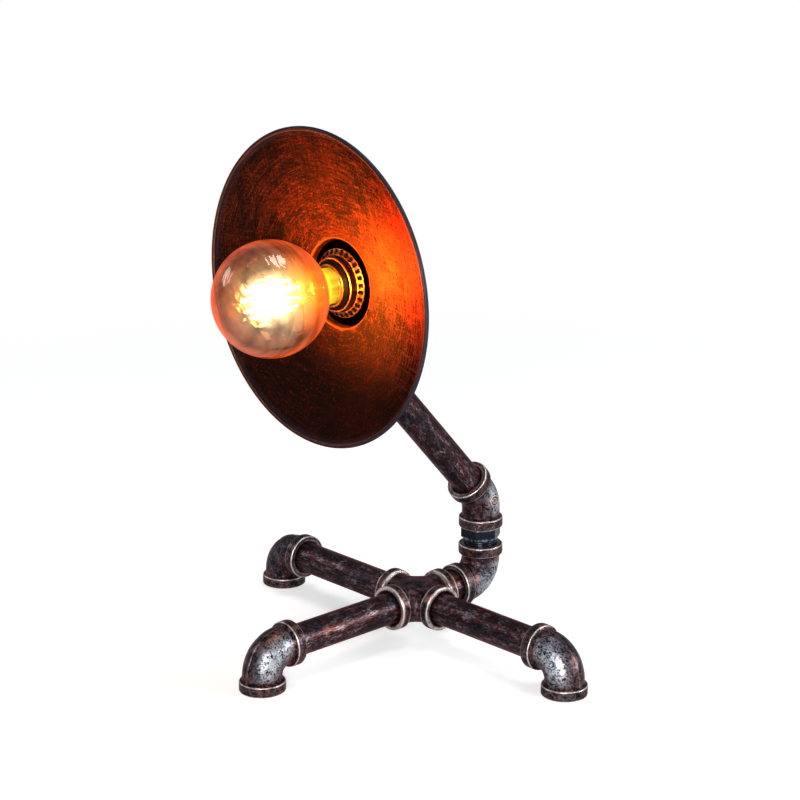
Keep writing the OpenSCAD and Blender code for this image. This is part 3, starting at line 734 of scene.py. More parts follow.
def black_nipple(f):
    """Blackened steel with blue-grey rubbed edges."""
    fine = f.noise(f.place, 480.0, 5.0, 0.6)
    edge = f.times(f.attribute("worn"), f.ramp(fine, (0.35, 0.1), (0.6, 1.0)))
    ground = f.mix(f.ramp(fine, (0.4, 0.0), (0.7, 1.0)), tones().black_metal, (0.022, 0.030, 0.050))
    return f.surface(f.mix(edge, ground, (0.30, 0.36, 0.46)), 0.85, f.ramp(fine, (0.3, 0.26), (0.7, 0.45)),
                     f.bump(fine, 0.3, 0.0001))


def spun_brass(f, bright, dark, lines, roughness, patina, glow=0.0):
    """Lathe-turned brass: fine circular scratches over clouds of patina; glow sets a glow painted near the
    cap's mouth in place of the bulb's light on it.
    """
    marks = f.attribute("lathe", "Vector")
    circles = f.stretched(marks, (2600.0, 2.2, 2.2), 5.0, 0.7)
    arcs = f.stretched(marks, (420.0, 3.5, 3.5), 4.0, 0.6)
    cloud = f.noise(f.place, 24.0, 5.0, 0.6, 0.6)
    cross = f.stretched(f.place, (900.0, 60.0, 60.0), 4.0, 0.7)
    clouds = f.ramp(f.blend(cloud, 0.62, arcs, 0.38), (0.52 - 0.12 * patina, 0.0), (0.62, 1.0))
    colour = f.mix(clouds, dark, bright)
    colour = f.mix(f.ramp(circles, (0.42, 0.0), (0.72, 0.55 * lines)), colour, dark)
    edge = f.times(f.attribute("worn"), f.ramp(arcs, (0.35, 0.3), (0.6, 1.0)))
    height = f.math("ADD", circles, f.times(cross, 0.35))
    light = {}
    # A glow painted on the brass near the cap's mouth stands in for the bulb's light falling there.
    if glow:
        mouth = HEAD_Y - CAP_FRONT
        painted_glow_share = f.span(f.axis(f.place, 1), (mouth + 14) * MM, mouth * MM, 0.0, glow)
        light = {"Emission_Color": (1.0, 0.58, 0.02),
                 "Emission_Strength": f.times(painted_glow_share, f.ramp(arcs, (0.35, 0.6), (0.6, 1.0)))}
    return f.surface(f.mix(edge, colour, bright), 0.9, f.mix(circles, *((r,) * 3 for r in roughness)),
                     f.bump(height, 0.28 * lines + 0.05, 0.00012), **light)


def blackened_brass(f):
    """Blackened ring whose rubbed edges show the brass; on the tooth tips the brass is partly a painted
    highlight.
    """
    fine = f.noise(f.place, 700.0, 4.0, 0.62)
    rubbed = f.ramp(f.attribute("worn"), (0.5, 0.0), (1.0, 1.0))
    edge = f.times(rubbed, f.ramp(fine, (0.34, 0.4), (0.55, 1.0)))
    dark = f.mix(fine, (0.0006, 0.0004, 0.0003), (0.004, 0.002, 0.001))
    colour = f.mix(edge, dark, f.mix(fine, (0.19, 0.064, 0.019), (0.42, 0.17, 0.06)))
    return f.surface(colour, 0.9, f.ramp(fine, (0.3, 0.26), (0.7, 0.44)), f.bump(fine, 0.35, 0.00012),
                     Specular_IOR_Level=0.2)


def spun_copper(f):
    """Antique copper sheet: arcs and cross scratches over dark patina, painted shade towards the bottom, rim
    and recess edges partly painted as highlights, a dark lip with a painted blue-grey reflection, black in
    the sunk middle.
    """
    c = tones()
    marks = f.attribute("lathe", "Vector")
    radius = f.axis(marks, 0)
    circles = f.stretched(marks, (1500.0, 4.0, 4.0), 4.0, 0.7)
    arcs = f.stretched(marks, (430.0, 6.0, 6.0), 5.0, 0.68, 0.2)
    cloud = f.noise(f.place, 17.0, 5.0, 0.62, 0.5)
    hatch = f.most(f.stretched(f.place, (38.0, 38.0, 640.0), 3.0, 0.6, turn=(0.0, 0.35, 0.0)),
                   f.stretched(f.place, (640.0, 38.0, 45.0), 3.0, 0.6, turn=(0.0, -0.30, 0.0)))
    patina = f.math("ADD", f.times(cloud, 0.5), f.blend(arcs, 0.3, hatch, 0.2))
    colour = f.mix(f.ramp(patina, (0.47, 0.0), (0.59, 1.0)), c.shade_dark, c.shade_copper)
    scratch = f.times(f.ramp(circles, (0.52, 0.0), (0.66, 0.85)), f.ramp(arcs, (0.44, 0.1), (0.60, 1.0)))
    scratch = f.most(scratch, f.ramp(hatch, (0.60, 0.0), (0.74, 0.4)))
    colour = f.mix(scratch, colour, COPPER_SCRATCH)
    # Darker towards the bottom of the shade: painted shade.
    below = f.span(f.axis(f.place, 2), (HEAD_Z - 95) * MM, (HEAD_Z + 35) * MM, 0.72, 0.0, "SMOOTHSTEP")
    speckle = f.noise(f.place, 620.0, 3.0, 0.65)
    for share in (below, f.ramp(circles, (0.36, 0.95), (0.52, 0.0)), f.ramp(hatch, (0.44, 0.6), (0.54, 0.0)),
                  f.ramp(speckle, (0.38, 0.9), (0.49, 0.0))):
        colour = f.mix(share, colour, c.shade_dark)
    colour = f.mix(f.ramp(speckle, (0.60, 0.0), (0.70, 0.45)), colour, COPPER_SCRATCH)
    # The rolled lip is dark, and its blue-grey streaks are a painted reflection.
    lip = f.ramp(radius, (0.1130, 0.0), (0.1136, 1.0))
    colour = f.mix(lip, colour, f.mix(circles, (0.006, 0.006, 0.009), (0.07, 0.075, 0.10)))
    worn = f.attribute("worn")
    outside = f.math("MULTIPLY", worn, -1.0, clamp=True)
    back = f.mix(f.ramp(patina, (0.46, 0.0), (0.60, 1.0)), (0.010, 0.008, 0.009), (0.050, 0.030, 0.024))
    colour = f.mix(outside, colour, back)
    # Orange on the rubbed edges of the rim and the recess: partly rubbed copper, partly a painted highlight
    # of the bulb's light.
    edge = f.times(f.most(worn, 0.0), f.ramp(arcs, (0.32, 0.5), (0.55, 1.0)))
    colour = f.mix(f.times(edge, 0.7), colour, (0.20, 0.060, 0.018))
    middle = f.span(radius, 0.0312, 0.0332, 1.0, 0.0)
    colour = f.mix(middle, colour, (0.00014, 0.00008, 0.00006))
    roughness = f.most(f.ramp(circles, (0.3, 0.38), (0.7, 0.54)), f.times(middle, 0.95))
    normal = f.bump(hatch, 0.5, 0.00018, f.bump(circles, 0.6, 0.0002))
    return f.surface(colour, f.most(0.8, middle), roughness, normal, Specular_IOR_Level=0.06,
                     Specular_Tint=(0.40, 0.11, 0.05))


def moulded(f, tone, roughness, grain, gloss):
    """Moulded insulator or rubber with a faint grain."""
    fine = f.noise(f.place, grain, 4.0, 0.6)
    colour = f.mix(fine, tone, tuple(v * 2.5 for v in tone))
    return f.surface(colour, 0.0, f.ramp(fine, (0.3, roughness[0]), (0.7, roughness[1])),
                     f.bump(fine, 0.2, 0.0001), Specular_IOR_Level=gloss)


def black_insulator():
    """The dark moulding of the lampholder's core and the bulb's cap."""
    return finish("black_insulator", moulded, (0.0003, 0.0002, 0.00015), (0.3, 0.5), 600.0, 0.03)


def lit_glass(f, middle, edge, haze, haze_strength, neck_strength):
    """Clear coloured glass: tinted more at its outline, with a haze of the filament's light."""
    dust = f.noise(f.place, 120.0, 4.0, 0.6)
    turned_away = f.facing()
    between = tuple(m * 0.3 + e * 0.7 for m, e in zip(middle, edge))
    tint = f.ramp(turned_away, (0.12, middle), (0.45, between), (0.98, edge))
    clear = f.shader("ShaderNodeBsdfTransparent", Color=tint)
    ripple = f.bump(f.noise(f.place, 34.0, 2.0, 0.5, 1.8), 0.5, 0.003)
    smear = f.ramp(dust, (0.4, 0.02), (0.7, 0.06))
    gloss = f.shader("ShaderNodeBsdfGlossy", Color=(1, 1, 1), Roughness=smear, Normal=ripple)
    share = f.ramp(turned_away, (0.0, 0.05), (0.55, 0.07), (0.85, 0.12), (1.0, 0.22))
    wisps = f.stretched(f.place, (16.0, 130.0, 16.0), 3.0, 0.55, 0.9)
    strength = f.ramp(turned_away, (0.03, 1.0), (0.075, 0.36), (0.14, 0.08), (0.50, 0.05), (0.78, 0.19),
                      (0.97, 0.34))
    strength = f.times(f.times(strength, f.ramp(wisps, (0.38, 0.35), (0.62, 1.6))), haze_strength)
    amber = tuple(h * e for h, e in zip(haze, (1.0, 0.75, 0.6)))
    warm = f.ramp(turned_away, (0.05, haze), (0.45, amber), (0.85, (1.0, 0.20, 0.04)))
    mouth = HEAD_Y - CAP_FRONT
    # A yellow glow on the glass near the cap: painted light of the filament there.
    neck = f.span(f.axis(f.place, 1), (mouth - 22) * MM, (mouth - 1) * MM, kind="SMOOTHSTEP")
    light = f.shader("ShaderNodeEmission", Color=f.mix(neck, warm, (1.0, 0.70, 0.03)),
                     Strength=f.math("ADD", strength, f.times(neck, neck_strength)))
    return f.done(f.add("ShaderNodeAddShader", {0: f.mix_shader(share, clear, gloss), 1: light}).outputs[0])


def filament_glow(f):
    """White-hot wire that is a little redder in places."""
    heat = f.ramp(f.noise(f.place, 90.0, 2.0), (0.3, tuple(tones().glow)), (0.75, (1.0, 0.62, 0.26)))
    return f.done(f.shader("ShaderNodeEmission", Color=heat, Strength=90.0))


def bright_wire(f):
    """Drawn wire and solder with a faint grain."""
    fine = f.noise(f.place, 900.0, 3.0)
    return f.surface(f.mix(fine, (0.45, 0.44, 0.42), (0.62, 0.60, 0.57)), 1.0,
                     f.ramp(fine, (0.3, 0.22), (0.7, 0.38)), f.bump(fine, 0.2, 0.00005))


# ---------- geometry nodes ----------

class GrowingTree(Nodes):
    """A geometry tree with named inputs, each with its kind and default."""

    def __init__(self, name, inputs):
        super().__init__(bpy.data.node_groups.new(name, "GeometryNodeTree"))
        sockets = self.tree.interface
        sockets.new_socket("Geometry", in_out="INPUT", socket_type="NodeSocketGeometry")
        for label, (kind, value) in inputs.items():
            socket = sockets.new_socket(label, in_out="INPUT", socket_type="NodeSocket" + kind)
            if value is not None:
                socket.default_value = value
        sockets.new_socket("Geometry", in_out="OUTPUT", socket_type="NodeSocketGeometry")
        self.given = self.add("NodeGroupInput").outputs

    def moved_round(self, geometry, angle, height):
        """Puts points at an angle and a height on the Radius that is given."""
        x = self.times(self.math("COSINE", angle), self.given["Radius"])
        y = self.times(self.math("SINE", angle), self.given["Radius"])
        spot = self.add("ShaderNodeCombineXYZ", {0: x, 1: y, 2: height}).outputs[0]
        return self.add("GeometryNodeSetPosition", {"Geometry": geometry, "Position": spot}).outputs[0]

    def done(self, geometry):
        """Closes the tree with Realize Instances and Set Material."""
        real = self.add("GeometryNodeRealizeInstances", {"Geometry": geometry}).outputs[0]
        painted = self.add("GeometryNodeSetMaterial", {"Geometry": real, "Material": self.given["Material"]})
        self.add("NodeGroupOutput", {"Geometry": painted.outputs[0]})
        return self.tree


def repeat_round_tree():
    """Repeats one mesh about local Z: count, radius, height, first angle and sweep."""
    made = bpy.data.node_groups.get("repeat_round_axis")
    if made:
        return made
    g = GrowingTree("repeat_round_axis", {
        "Piece": ("Object", None), "Count": ("Int", 8), "Radius": ("Float", 0.01), "Height": ("Float", 0.0),
        "First angle": ("Float", 0.0), "Sweep": ("Float", 2 * math.pi), "Material": ("Material", None)})
    dots = g.add("GeometryNodePoints", {"Count": g.given["Count"]}).outputs[0]
    index = g.add("GeometryNodeInputIndex").outputs[0]
    angle = g.times(g.math("DIVIDE", index, g.given["Count"]), g.given["Sweep"])
    angle = g.math("ADD", angle, g.given["First angle"])
    piece = g.add("GeometryNodeObjectInfo", {"Object": g.given["Piece"]}).outputs["Geometry"]
    about = g.add("ShaderNodeCombineXYZ", {2: angle}).outputs[0]
    spots = g.moved_round(dots, angle, g.given["Height"])
    copies = g.add("GeometryNodeInstanceOnPoints", {"Points": spots, "Instance": piece, "Rotation": about})
    return g.done(copies.outputs[0])


def hung_wire_tree():
    """A wire that runs round local Z in even waves: loops, radius, length, sweep and thickness."""
    steps_per_loop, wire_sides = 28, 10
    g = GrowingTree("hung_wire", {
        "Loops": ("Int", 8), "Radius": ("Float", 0.011), "Length": ("Float", 0.034), "Height": ("Float", 0.0),
        "Sweep": ("Float", 5.76), "Thickness": ("Float", 0.0009), "Material": ("Material", None)})
    line = g.add("GeometryNodeCurvePrimitiveLine").outputs[0]
    count = g.times(g.given["Loops"], steps_per_loop)
    curve = g.add("GeometryNodeResampleCurve", {"Curve": line, "Count": count}).outputs[0]
    share = g.add("GeometryNodeSplineParameter").outputs["Factor"]
    angle = g.times(share, g.given["Sweep"])
    turn = g.times(g.times(share, g.given["Loops"]), 2 * math.pi)
    wave = g.times(g.math("COSINE", turn), g.given["Length"])
    height = g.math("SUBTRACT", g.given["Height"], g.times(wave, 0.5))
    bent = g.moved_round(curve, angle, height)
    half = g.times(g.given["Thickness"], 0.5)
    outline = g.add("GeometryNodeCurvePrimitiveCircle", {"Resolution": wire_sides, "Radius": half}).outputs[0]
    wire = g.add("GeometryNodeCurveToMesh", {"Curve": bent, "Profile Curve": outline, "Fill Caps": True})
    return g.done(wire.outputs[0])


def grown(name, tree, values, matrix):
    """Runs a tree on an empty mesh, bakes it and puts its place into the mesh."""
    made = shown(name, bpy.data.meshes.new(name))
    modifier = made.modifiers.new("grow", "NODES")
    modifier.node_group = tree
    for item in tree.interface.items_tree:
        if item.in_out == "INPUT" and item.name in values:
            modifier[item.identifier] = values[item.name]
    baked(made)
    if not made.data.vertices:
        raise RuntimeError(name + " came out empty")
    place = matrix.copy()
    place.translation = place.translation * MM
    made.data.transform(place)
    smoothed(made.data)
    return made


# ---------- operators ----------

class PieceOperator:
    """Shared settings of the operators."""

    bl_options = {"REGISTER", "UNDO"}


class BuildElbows(PieceOperator, bpy.types.Operator):
    """Builds the three feet, the riser elbow and the two angle elbows"""

    bl_idname = "pipe_lamp.elbows"
    bl_label = "Cast elbows"

    def execute(self, context):
        iron = finish("worn_casting", worn_casting)
        square = (math.pi / 2, ELBOW_BEND, ELBOW_STRAIGHT)
        # The last number is how strongly each foot's cheeks are polished bright, partly as a painted
        # highlight; the left foot's are kept dim.
        feet = {"front_foot": (0, FRONT_Y, -90, 1.0), "left_foot": (-SIDE_X, CROSS_Y, 180, 0.2),
                "right_foot": (SIDE_X, CROSS_Y, 0, 1.0)}
        for seed, (node, (x, y, turn, rub)) in enumerate(feet.items()):
            place = placed(x, y, AXIS_Z, spin(turn, "Z") @ spin(180, "X"))
            foot = cast_elbow(node + "_casting", *square, place, seed=seed * 7.3, rub=rub)
            dressed(foot, node, "base", iron)
        riser = cast_elbow("riser_elbow_casting", *square, placed(0, RISER_Y, AXIS_Z, spin(90, "Z")), seed=40)
        cutters = []
        for label, start, radius in (("cutter_a", ELBOW_BEND, 4.65), ("cutter_b", CORD_SEAT, 7.0)):
            outside = CORD_SEAT + 9
            drill = [(start, 0), (start, radius), (outside, radius), (outside, 0)]
            cutters.append(lathe(label, drill, IN_CORD_HOLE, 64, closed=False))
        dressed(cut_with(riser, cutters), "riser_elbow", "base", iron)
        angle = (LEAN, ANGLE_BEND, ANGLE_STRAIGHT)
        forward = spin(90, "Z") @ spin(-90, "Y")
        lower_place = placed(0, RISER_Y, LOWER_BEND_Z, forward)
        upper_place = placed(0, HEAD_Y, UPPER_BEND_Z, spin(180, "X") @ forward)
        for part, place, pad_side, seed in (("lower", lower_place, 1, 60), ("upper", upper_place, -1, 80)):
            elbow = cast_elbow(part + "_angle_casting", *angle, place, pad_side, seed)
            dressed(elbow, part + "_angle_elbow", "arm", iron)
        return {"FINISHED"}


class BuildCross(PieceOperator, bpy.types.Operator):
    """Builds the cross fitting in the middle of the stand"""

    bl_idname = "pipe_lamp.cross"
    bl_label = "Cross fitting"

    def execute(self, context):
        width, bevel = sizes().band_width / MM, sizes().mouth_bevel / MM

        def arms(x, y, z):
            """Along and across each of the two lines of pipe."""
            return (np.abs(x), np.hypot(y, z)), (np.abs(y), np.hypot(x, z))

        def skin(x, y, z):
            """Two crossed drums that melt into each other, with a band at each mouth."""
            seen = melt(np.hypot(y, z) - BODY_R, np.hypot(x, z) - BODY_R, 8.7)
            seen = seen + 1.3 * np.exp(-(x * x + y * y) / 130.0)
            seen = np.maximum(seen, np.maximum(np.abs(x), np.abs(y)) - CROSS_REACH + 1)
            for a, q in arms(x, y, z):
                seen = melt(seen, drum(q, a, BAND_R, CROSS_REACH - width, CROSS_REACH, BAND_ROUND), 1.4)
            return seen + 0.12 * np.sin(x * 0.31 + 1.0) * np.sin(y * 0.27 + z * 0.4)

        def field(x, y, z):
            solid = skin(x, y, z)
            for a, q in arms(x, y, z):
                solid = np.maximum(solid, -np.minimum(q - BORE_R, socket_hollow(q, CROSS_REACH - a, bevel)))
            return solid

        def wear(x, y, z):
            (ax, qx), (ay, qy) = arms(x, y, z)
            rim = rubbed_rims(CROSS_REACH - np.maximum(ax, ay), width)
            return np.where(np.where(ax > ay, qx, qy) > BAND_R - 2.6, np.clip(rim, 0, 1), 0)

        reach, deep = CROSS_REACH + 1.5, BAND_R + 1.5
        cross = wrap_solid("cross_casting", field, (-reach, -reach, -deep), (reach, reach, deep),
                           placed(0, CROSS_Y, AXIS_Z), wear)
        dressed(cross, "cross_fitting", "base", finish("worn_casting", worn_casting))
        return {"FINISHED"}


class BuildPipes(PieceOperator, bpy.types.Operator):
    """Builds the legs, the rear nipple and the leaning arm"""

    bl_idname = "pipe_lamp.pipes"
    bl_label = "Pipes"

    def execute(self, context):
        steel = finish("brushed_pipe", brushed_pipe)
        reach = ELBOW_BEND + ELBOW_STRAIGHT - THREAD_LENGTH
        from_cross = {
            "front_leg": (spin(-90, "Z") @ spin(90, "Y"), CROSS_Y - FRONT_Y),
            "left_leg": (spin(-90, "Y"), SIDE_X),
            "right_leg": (spin(90, "Y"), SIDE_X),
            "rear_nipple": (spin(90, "Z") @ spin(90, "Y"), RISER_Y - CROSS_Y),
        }
        runs = {node: (placed(0, CROSS_Y, AXIS_Z, turn), CROSS_REACH - THREAD_LENGTH, length - reach, "base")
                for node, (turn, length) in from_cross.items()}
        end = ARM_SPAN - ANGLE_REACH + THREAD_LENGTH
        runs["arm_pipe"] = (ON_ARM, ANGLE_REACH - THREAD_LENGTH, end, "arm")
        bevel, lip = PIPE_R - PIPE_BEVEL, BORE_R + 0.4
        for node, (place, low, high, body) in runs.items():
            rings = [(low + 0.8, bevel), (low + 1.6, PIPE_R)]
            rings += [(low + (high - low) * i / 24, PIPE_R) for i in range(1, 24)]
            rings += [(high - 1.6, PIPE_R), (high - 0.8, bevel), (high, lip), (high, BORE_R), (low, BORE_R),
                      (low, lip)]
            pipe = lathe(node + "_tube", rings, place, 96, uneven=0.05)
            dressed(pipe, node, body, steel)
        return {"FINISHED"}


class BuildNipples(PieceOperator, bpy.types.Operator):
    """Builds the two hexagon nipples that the arm and the head turn on"""

    bl_idname = "pipe_lamp.nipples"
    bl_label = "Hexagon nipples"

    def execute(self, context):
        neck, top, flats = 3.8, NIPPLE_STACK, 13.7
        corner = flats / math.cos(math.pi / 6)
        pitch, thread_depth = 1.81, 0.32
        bevel = PIPE_R - PIPE_BEVEL

        def hexagon(angle, height, radius):
            """Threads on the two ends and flats on the middle."""
            sides = flats / np.cos(angle % (math.pi / 3) - math.pi / 6)
            thread = thread_depth * np.abs(((height / pitch - angle / (2 * math.pi)) % 1.0) * 2 - 1)
            threaded = np.abs(radius - PIPE_R) < 1e-6
            return np.where(threaded, radius - thread, np.minimum(radius, sides))

        profile = [(-THREAD_LENGTH, BORE_R), (-THREAD_LENGTH, bevel)]
        profile += [(z, PIPE_R) for z in np.arange(-11, neck - 0.05, 0.3)]
        profile += [(neck, 12.2), (neck + 0.4, 12.9, 0.1), (neck + 0.9, 13.6, 0.6), (neck + 1.4, 14.5, 0.8),
                    (neck + 2.2, corner, 0.9), (neck + 2.6, corner, 0.2)]
        profile += evenly(neck + 3.4, top - 1.8, 6, corner)
        profile += [(top - 1.1, corner, 0.5), (top - 0.5, 14.7, 1.0), (top, flats, 0.9), (top, 12.4, 0.1)]
        profile += [(z, PIPE_R) for z in np.arange(top + 0.2, top + 11.6, 0.6)]
        profile += [(top + THREAD_LENGTH, bevel), (top + THREAD_LENGTH, BORE_R)]
        black = finish("black_nipple", black_nipple)
        for node, y, z, body in (("lower_hex_nipple", RISER_Y, RISER_FACE, "arm"),
                                 ("upper_hex_nipple", HEAD_Y, UPPER_FACE, "head")):
            piece = lathe(node + "_piece", profile, placed(0, y, z), 192, wave=hexagon, sharp=24)
            dressed(piece, node, body, black)
        return {"FINISHED"}


class BuildHeadCasting(PieceOperator, bpy.types.Operator):
    """Builds the reducing elbow that carries the lampholder, and its grub screw"""

    bl_idname = "pipe_lamp.head_casting"
    bl_label = "Head casting"

    def execute(self, context):
        width, bevel = sizes().band_width / MM, sizes().mouth_bevel / MM
        cup, mouth, drop, seat_r = 22.85, 25.25, 31.0, 20.05

        def field(x, y, z):
            q, neck_q = np.hypot(x, y), np.hypot(x, z)
            body = np.maximum(np.where(z < 0, dome(q, z, cup, 15.0), q - cup), z - MOUTH + 1)
            neck = np.maximum(np.maximum(neck_q - BODY_R, y), -y - drop + 1)
            solid = melt(body, neck, 5.0)
            solid = melt(solid, drum(q, z, mouth, MOUTH - width, MOUTH, BAND_ROUND), 1.4)
            solid = melt(solid, drum(neck_q, -y, BAND_R, drop - width, drop, BAND_ROUND), 1.4)
            solid = solid + 0.12 * np.sin(x * 0.33) * np.sin(y * 0.29 + z * 0.37)
            seat = np.maximum(q - seat_r, 12 - z)
            hollow = np.maximum(dome(q, z, 19.4, 12.0), z - 13)
            shaft = np.maximum(neck_q - BORE_R, y)
            screw = np.maximum(np.hypot(x, z - MOUTH + width / 2) - 2.05, 10 - y)
            space = np.minimum(np.minimum(seat, hollow), np.minimum(shaft, screw))
            space = np.minimum(space, socket_hollow(neck_q, y + drop, bevel))
            return np.maximum(solid, -space)

        def wear(x, y, z):
            front = np.where(np.hypot(x, y) > mouth - 2.6, rubbed_rims(MOUTH - z, width), 0) * (z > 10)
            below = np.where(np.hypot(x, z) > BAND_R - 2.6, rubbed_rims(y + drop, width), 0) * (y < -20)
            return np.clip(front + below, 0, 1)

        casting = wrap_solid("head_casting_shell", field, (-27, -33, -19), (27, 27, 26), ON_HEAD, wear)
        dressed(casting, "head_casting", "head", finish("worn_casting", worn_casting))

        def key_socket(angle, height, radius):
            """Makes the hole in the screw's end a hexagon."""
            key = 1.15 / np.cos(angle % (math.pi / 3) - math.pi / 6) * math.cos(math.pi / 6)
            return np.where(radius < 1.3, np.minimum(radius, key), radius)

        place = ON_HEAD @ placed(0, SHELL_R + 0.05, MOUTH - width / 2, spin(-90, "X"))
        length = mouth - SHELL_R - 0.4
        profile = [(0, 0), (0, 1.6), (0.4, 2.0, 0.2), (length - 0.3, 2.0, 0.4), (length, 1.7, 0.9),
                   (length, 1.29, 0.6), (length - 2, 1.29), (length - 2, 0)]
        screw = lathe("grub_screw", profile, place, 72, closed=False, wave=key_socket)
        dressed(screw, "holder_set_screw", "head", finish("black_nipple", black_nipple))
        return {"FINISHED"}


class BuildShade(PieceOperator, bpy.types.Operator):
    """Builds the spun saucer shade with its sunk middle and rolled rim"""

    bl_idname = "pipe_lamp.shade"
    bl_label = "Saucer shade"

    def execute(self, context):
        hole, recess, bead = 20.1, 32.5, 1.7
        rim_r, rim_z = SHADE_R - bead, RIM_FRONT - bead
        radii = np.linspace(recess + 1.4, rim_r - 0.6, 44)
        rise = (rim_z - SHADE_FLOOR) * (radii ** 2 - recess ** 2) / (rim_r ** 2 - recess ** 2)
        inner = [(SHADE_FLOOR + h, r) for r, h in zip(radii, rise)]
        # Wear on the recess edge and on the inside of the rolled rim paints an orange highlight there, partly
        # also rubbed copper; negative wear marks the back.
        step = ([(PLATE_FRONT, recess - 1.3)] + arc(PLATE_FRONT + 1.2, recess - 1.2, 1.2, 180, 90, 4, 0.0)[1:]
                + arc(SHADE_FLOOR - 1.3, recess + 1.3, 1.3, 270, 360, 4, 0.7))
        rolled = [(z, r, max(0.0, 1 - abs(a + 40) / 34) - min(max((a - 100) / 60, 0), 1))
                  for a, (z, r, _) in zip(np.linspace(-62, 222, 24), arc(rim_z, rim_r, bead, -62, 222, 23))]
        outer = [(z - SHEET, r, -1.0) for z, r in reversed(inner)]
        outer_step = arc(SHADE_FLOOR - SHEET - 1.3, recess + SHEET + 2.2, 1.2, 360, 270, 3, -1.0)
        back = [(PLATE_BACK + 1.0, recess + SHEET, -1), (PLATE_BACK, recess + SHEET, -1),
                (PLATE_BACK, hole + 6, -1), (PLATE_BACK, hole + 0.3, -1), (PLATE_BACK + 0.3, hole)]
        front = [(PLATE_FRONT - 0.3, hole, 0.4), (PLATE_FRONT, hole + 0.3, 0.2), (PLATE_FRONT, hole + 6)]
        profile = front + step + inner + rolled + outer + outer_step + back
        shade = lathe("shade_dish", profile, ON_HEAD, 288, sharp=55)
        dressed(shade, "shade", "head", finish("spun_copper", spun_copper))
        return {"FINISHED"}


class BuildShadeRing(PieceOperator, bpy.types.Operator):
    """Builds the toothed ring that clamps the shade to the lampholder"""

    bl_idname = "pipe_lamp.shade_ring"
    bl_label = "Toothed ring"

    def execute(self, context):
        count = sizes().ring_teeth
        brass = finish("blackened_brass", blackened_brass)
        back, front, root, tip = PLATE_FRONT + 0.05, PLATE_FRONT + 5.45, 21.5, 25.3
        core = [(back, 20.0), (back, tip - 0.3), (back + 0.3, tip)]
        # The bright wear on the ring's edges is partly rubbed brass, partly a painted highlight.
        core += [(front - depth, radius, wear) for depth, radius, wear in (
            (2.7, tip, 0.3), (2.45, tip - 0.08, 1.0), (2.3, tip - 0.3, 0.9), (2.25, tip - 0.8, 0),
            (2.25, root, 0), (0.4, root, 0), (0.1, root - 0.25, 0.8), (0, root - 0.5, 0.95),
            (0, 20.8, 0.95), (0.25, 20.4, 0.8), (0.6, 20.1, 0.6), (1.2, 20.0, 0))]
        ring = lathe("ring_core", core, ON_HEAD, 192)
        inner, middle = root - 0.3, 23.7
        notch = 0.88 * math.pi * middle / count
        side = []
        for reach in (inner, 21.7, 22.1, 22.8, middle, 24.4, 24.9, tip):
            room = math.pi * reach / count
            cut = math.sqrt(max(0.0, notch ** 2 - (reach - middle) ** 2))
            side.append((min(room - cut, 0.93 * room), reach))
        outline = [(-x, reach) for x, reach in side] + [(x, reach) for x, reach in reversed(side)]
        # The bright tooth tips set here are partly rubbed brass, partly painted highlights.
        levels = [(front - depth, limit, wear) for depth, limit, wear in (
            (2.6, tip - 0.1, 1.0), (2.0, tip - 0.15, 1.0), (1.7, tip - 0.5, 0.9), (1.1, 23.6, 0.62),
            (0.5, 22.4, 0.62), (0.15, 21.8, 0.75))]
        points = np.array([[min(reach, limit), x, z] for z, limit, _ in levels for x, reach in outline])
        n, last = len(outline), len(levels) - 1
        faces = [[a * n + i, a * n + (i + 1) % n, (a + 1) * n + (i + 1) % n, (a + 1) * n + i]
                 for a in range(last) for i in range(n)]
        faces += [list(range(n)), [last * n + i for i in range(n)]]
        worn = [wear for _, _, wear in levels for _ in outline]
        marks = [(x * MM, 1.0, 0.0) for x, _, _ in points]
        tooth = mesh_object("ring_tooth", points, faces, Matrix.Identity(4), worn, None, marks, 60)
        teeth = grown("ring_teeth", repeat_round_tree(), {
            "Piece": tooth, "Count": count, "Radius": 0.0, "Height": 0.0, "Material": brass}, ON_HEAD)
        removed([tooth])
        dressed(joined(ring, [teeth]), "shade_ring", "head", brass)
        return {"FINISHED"}


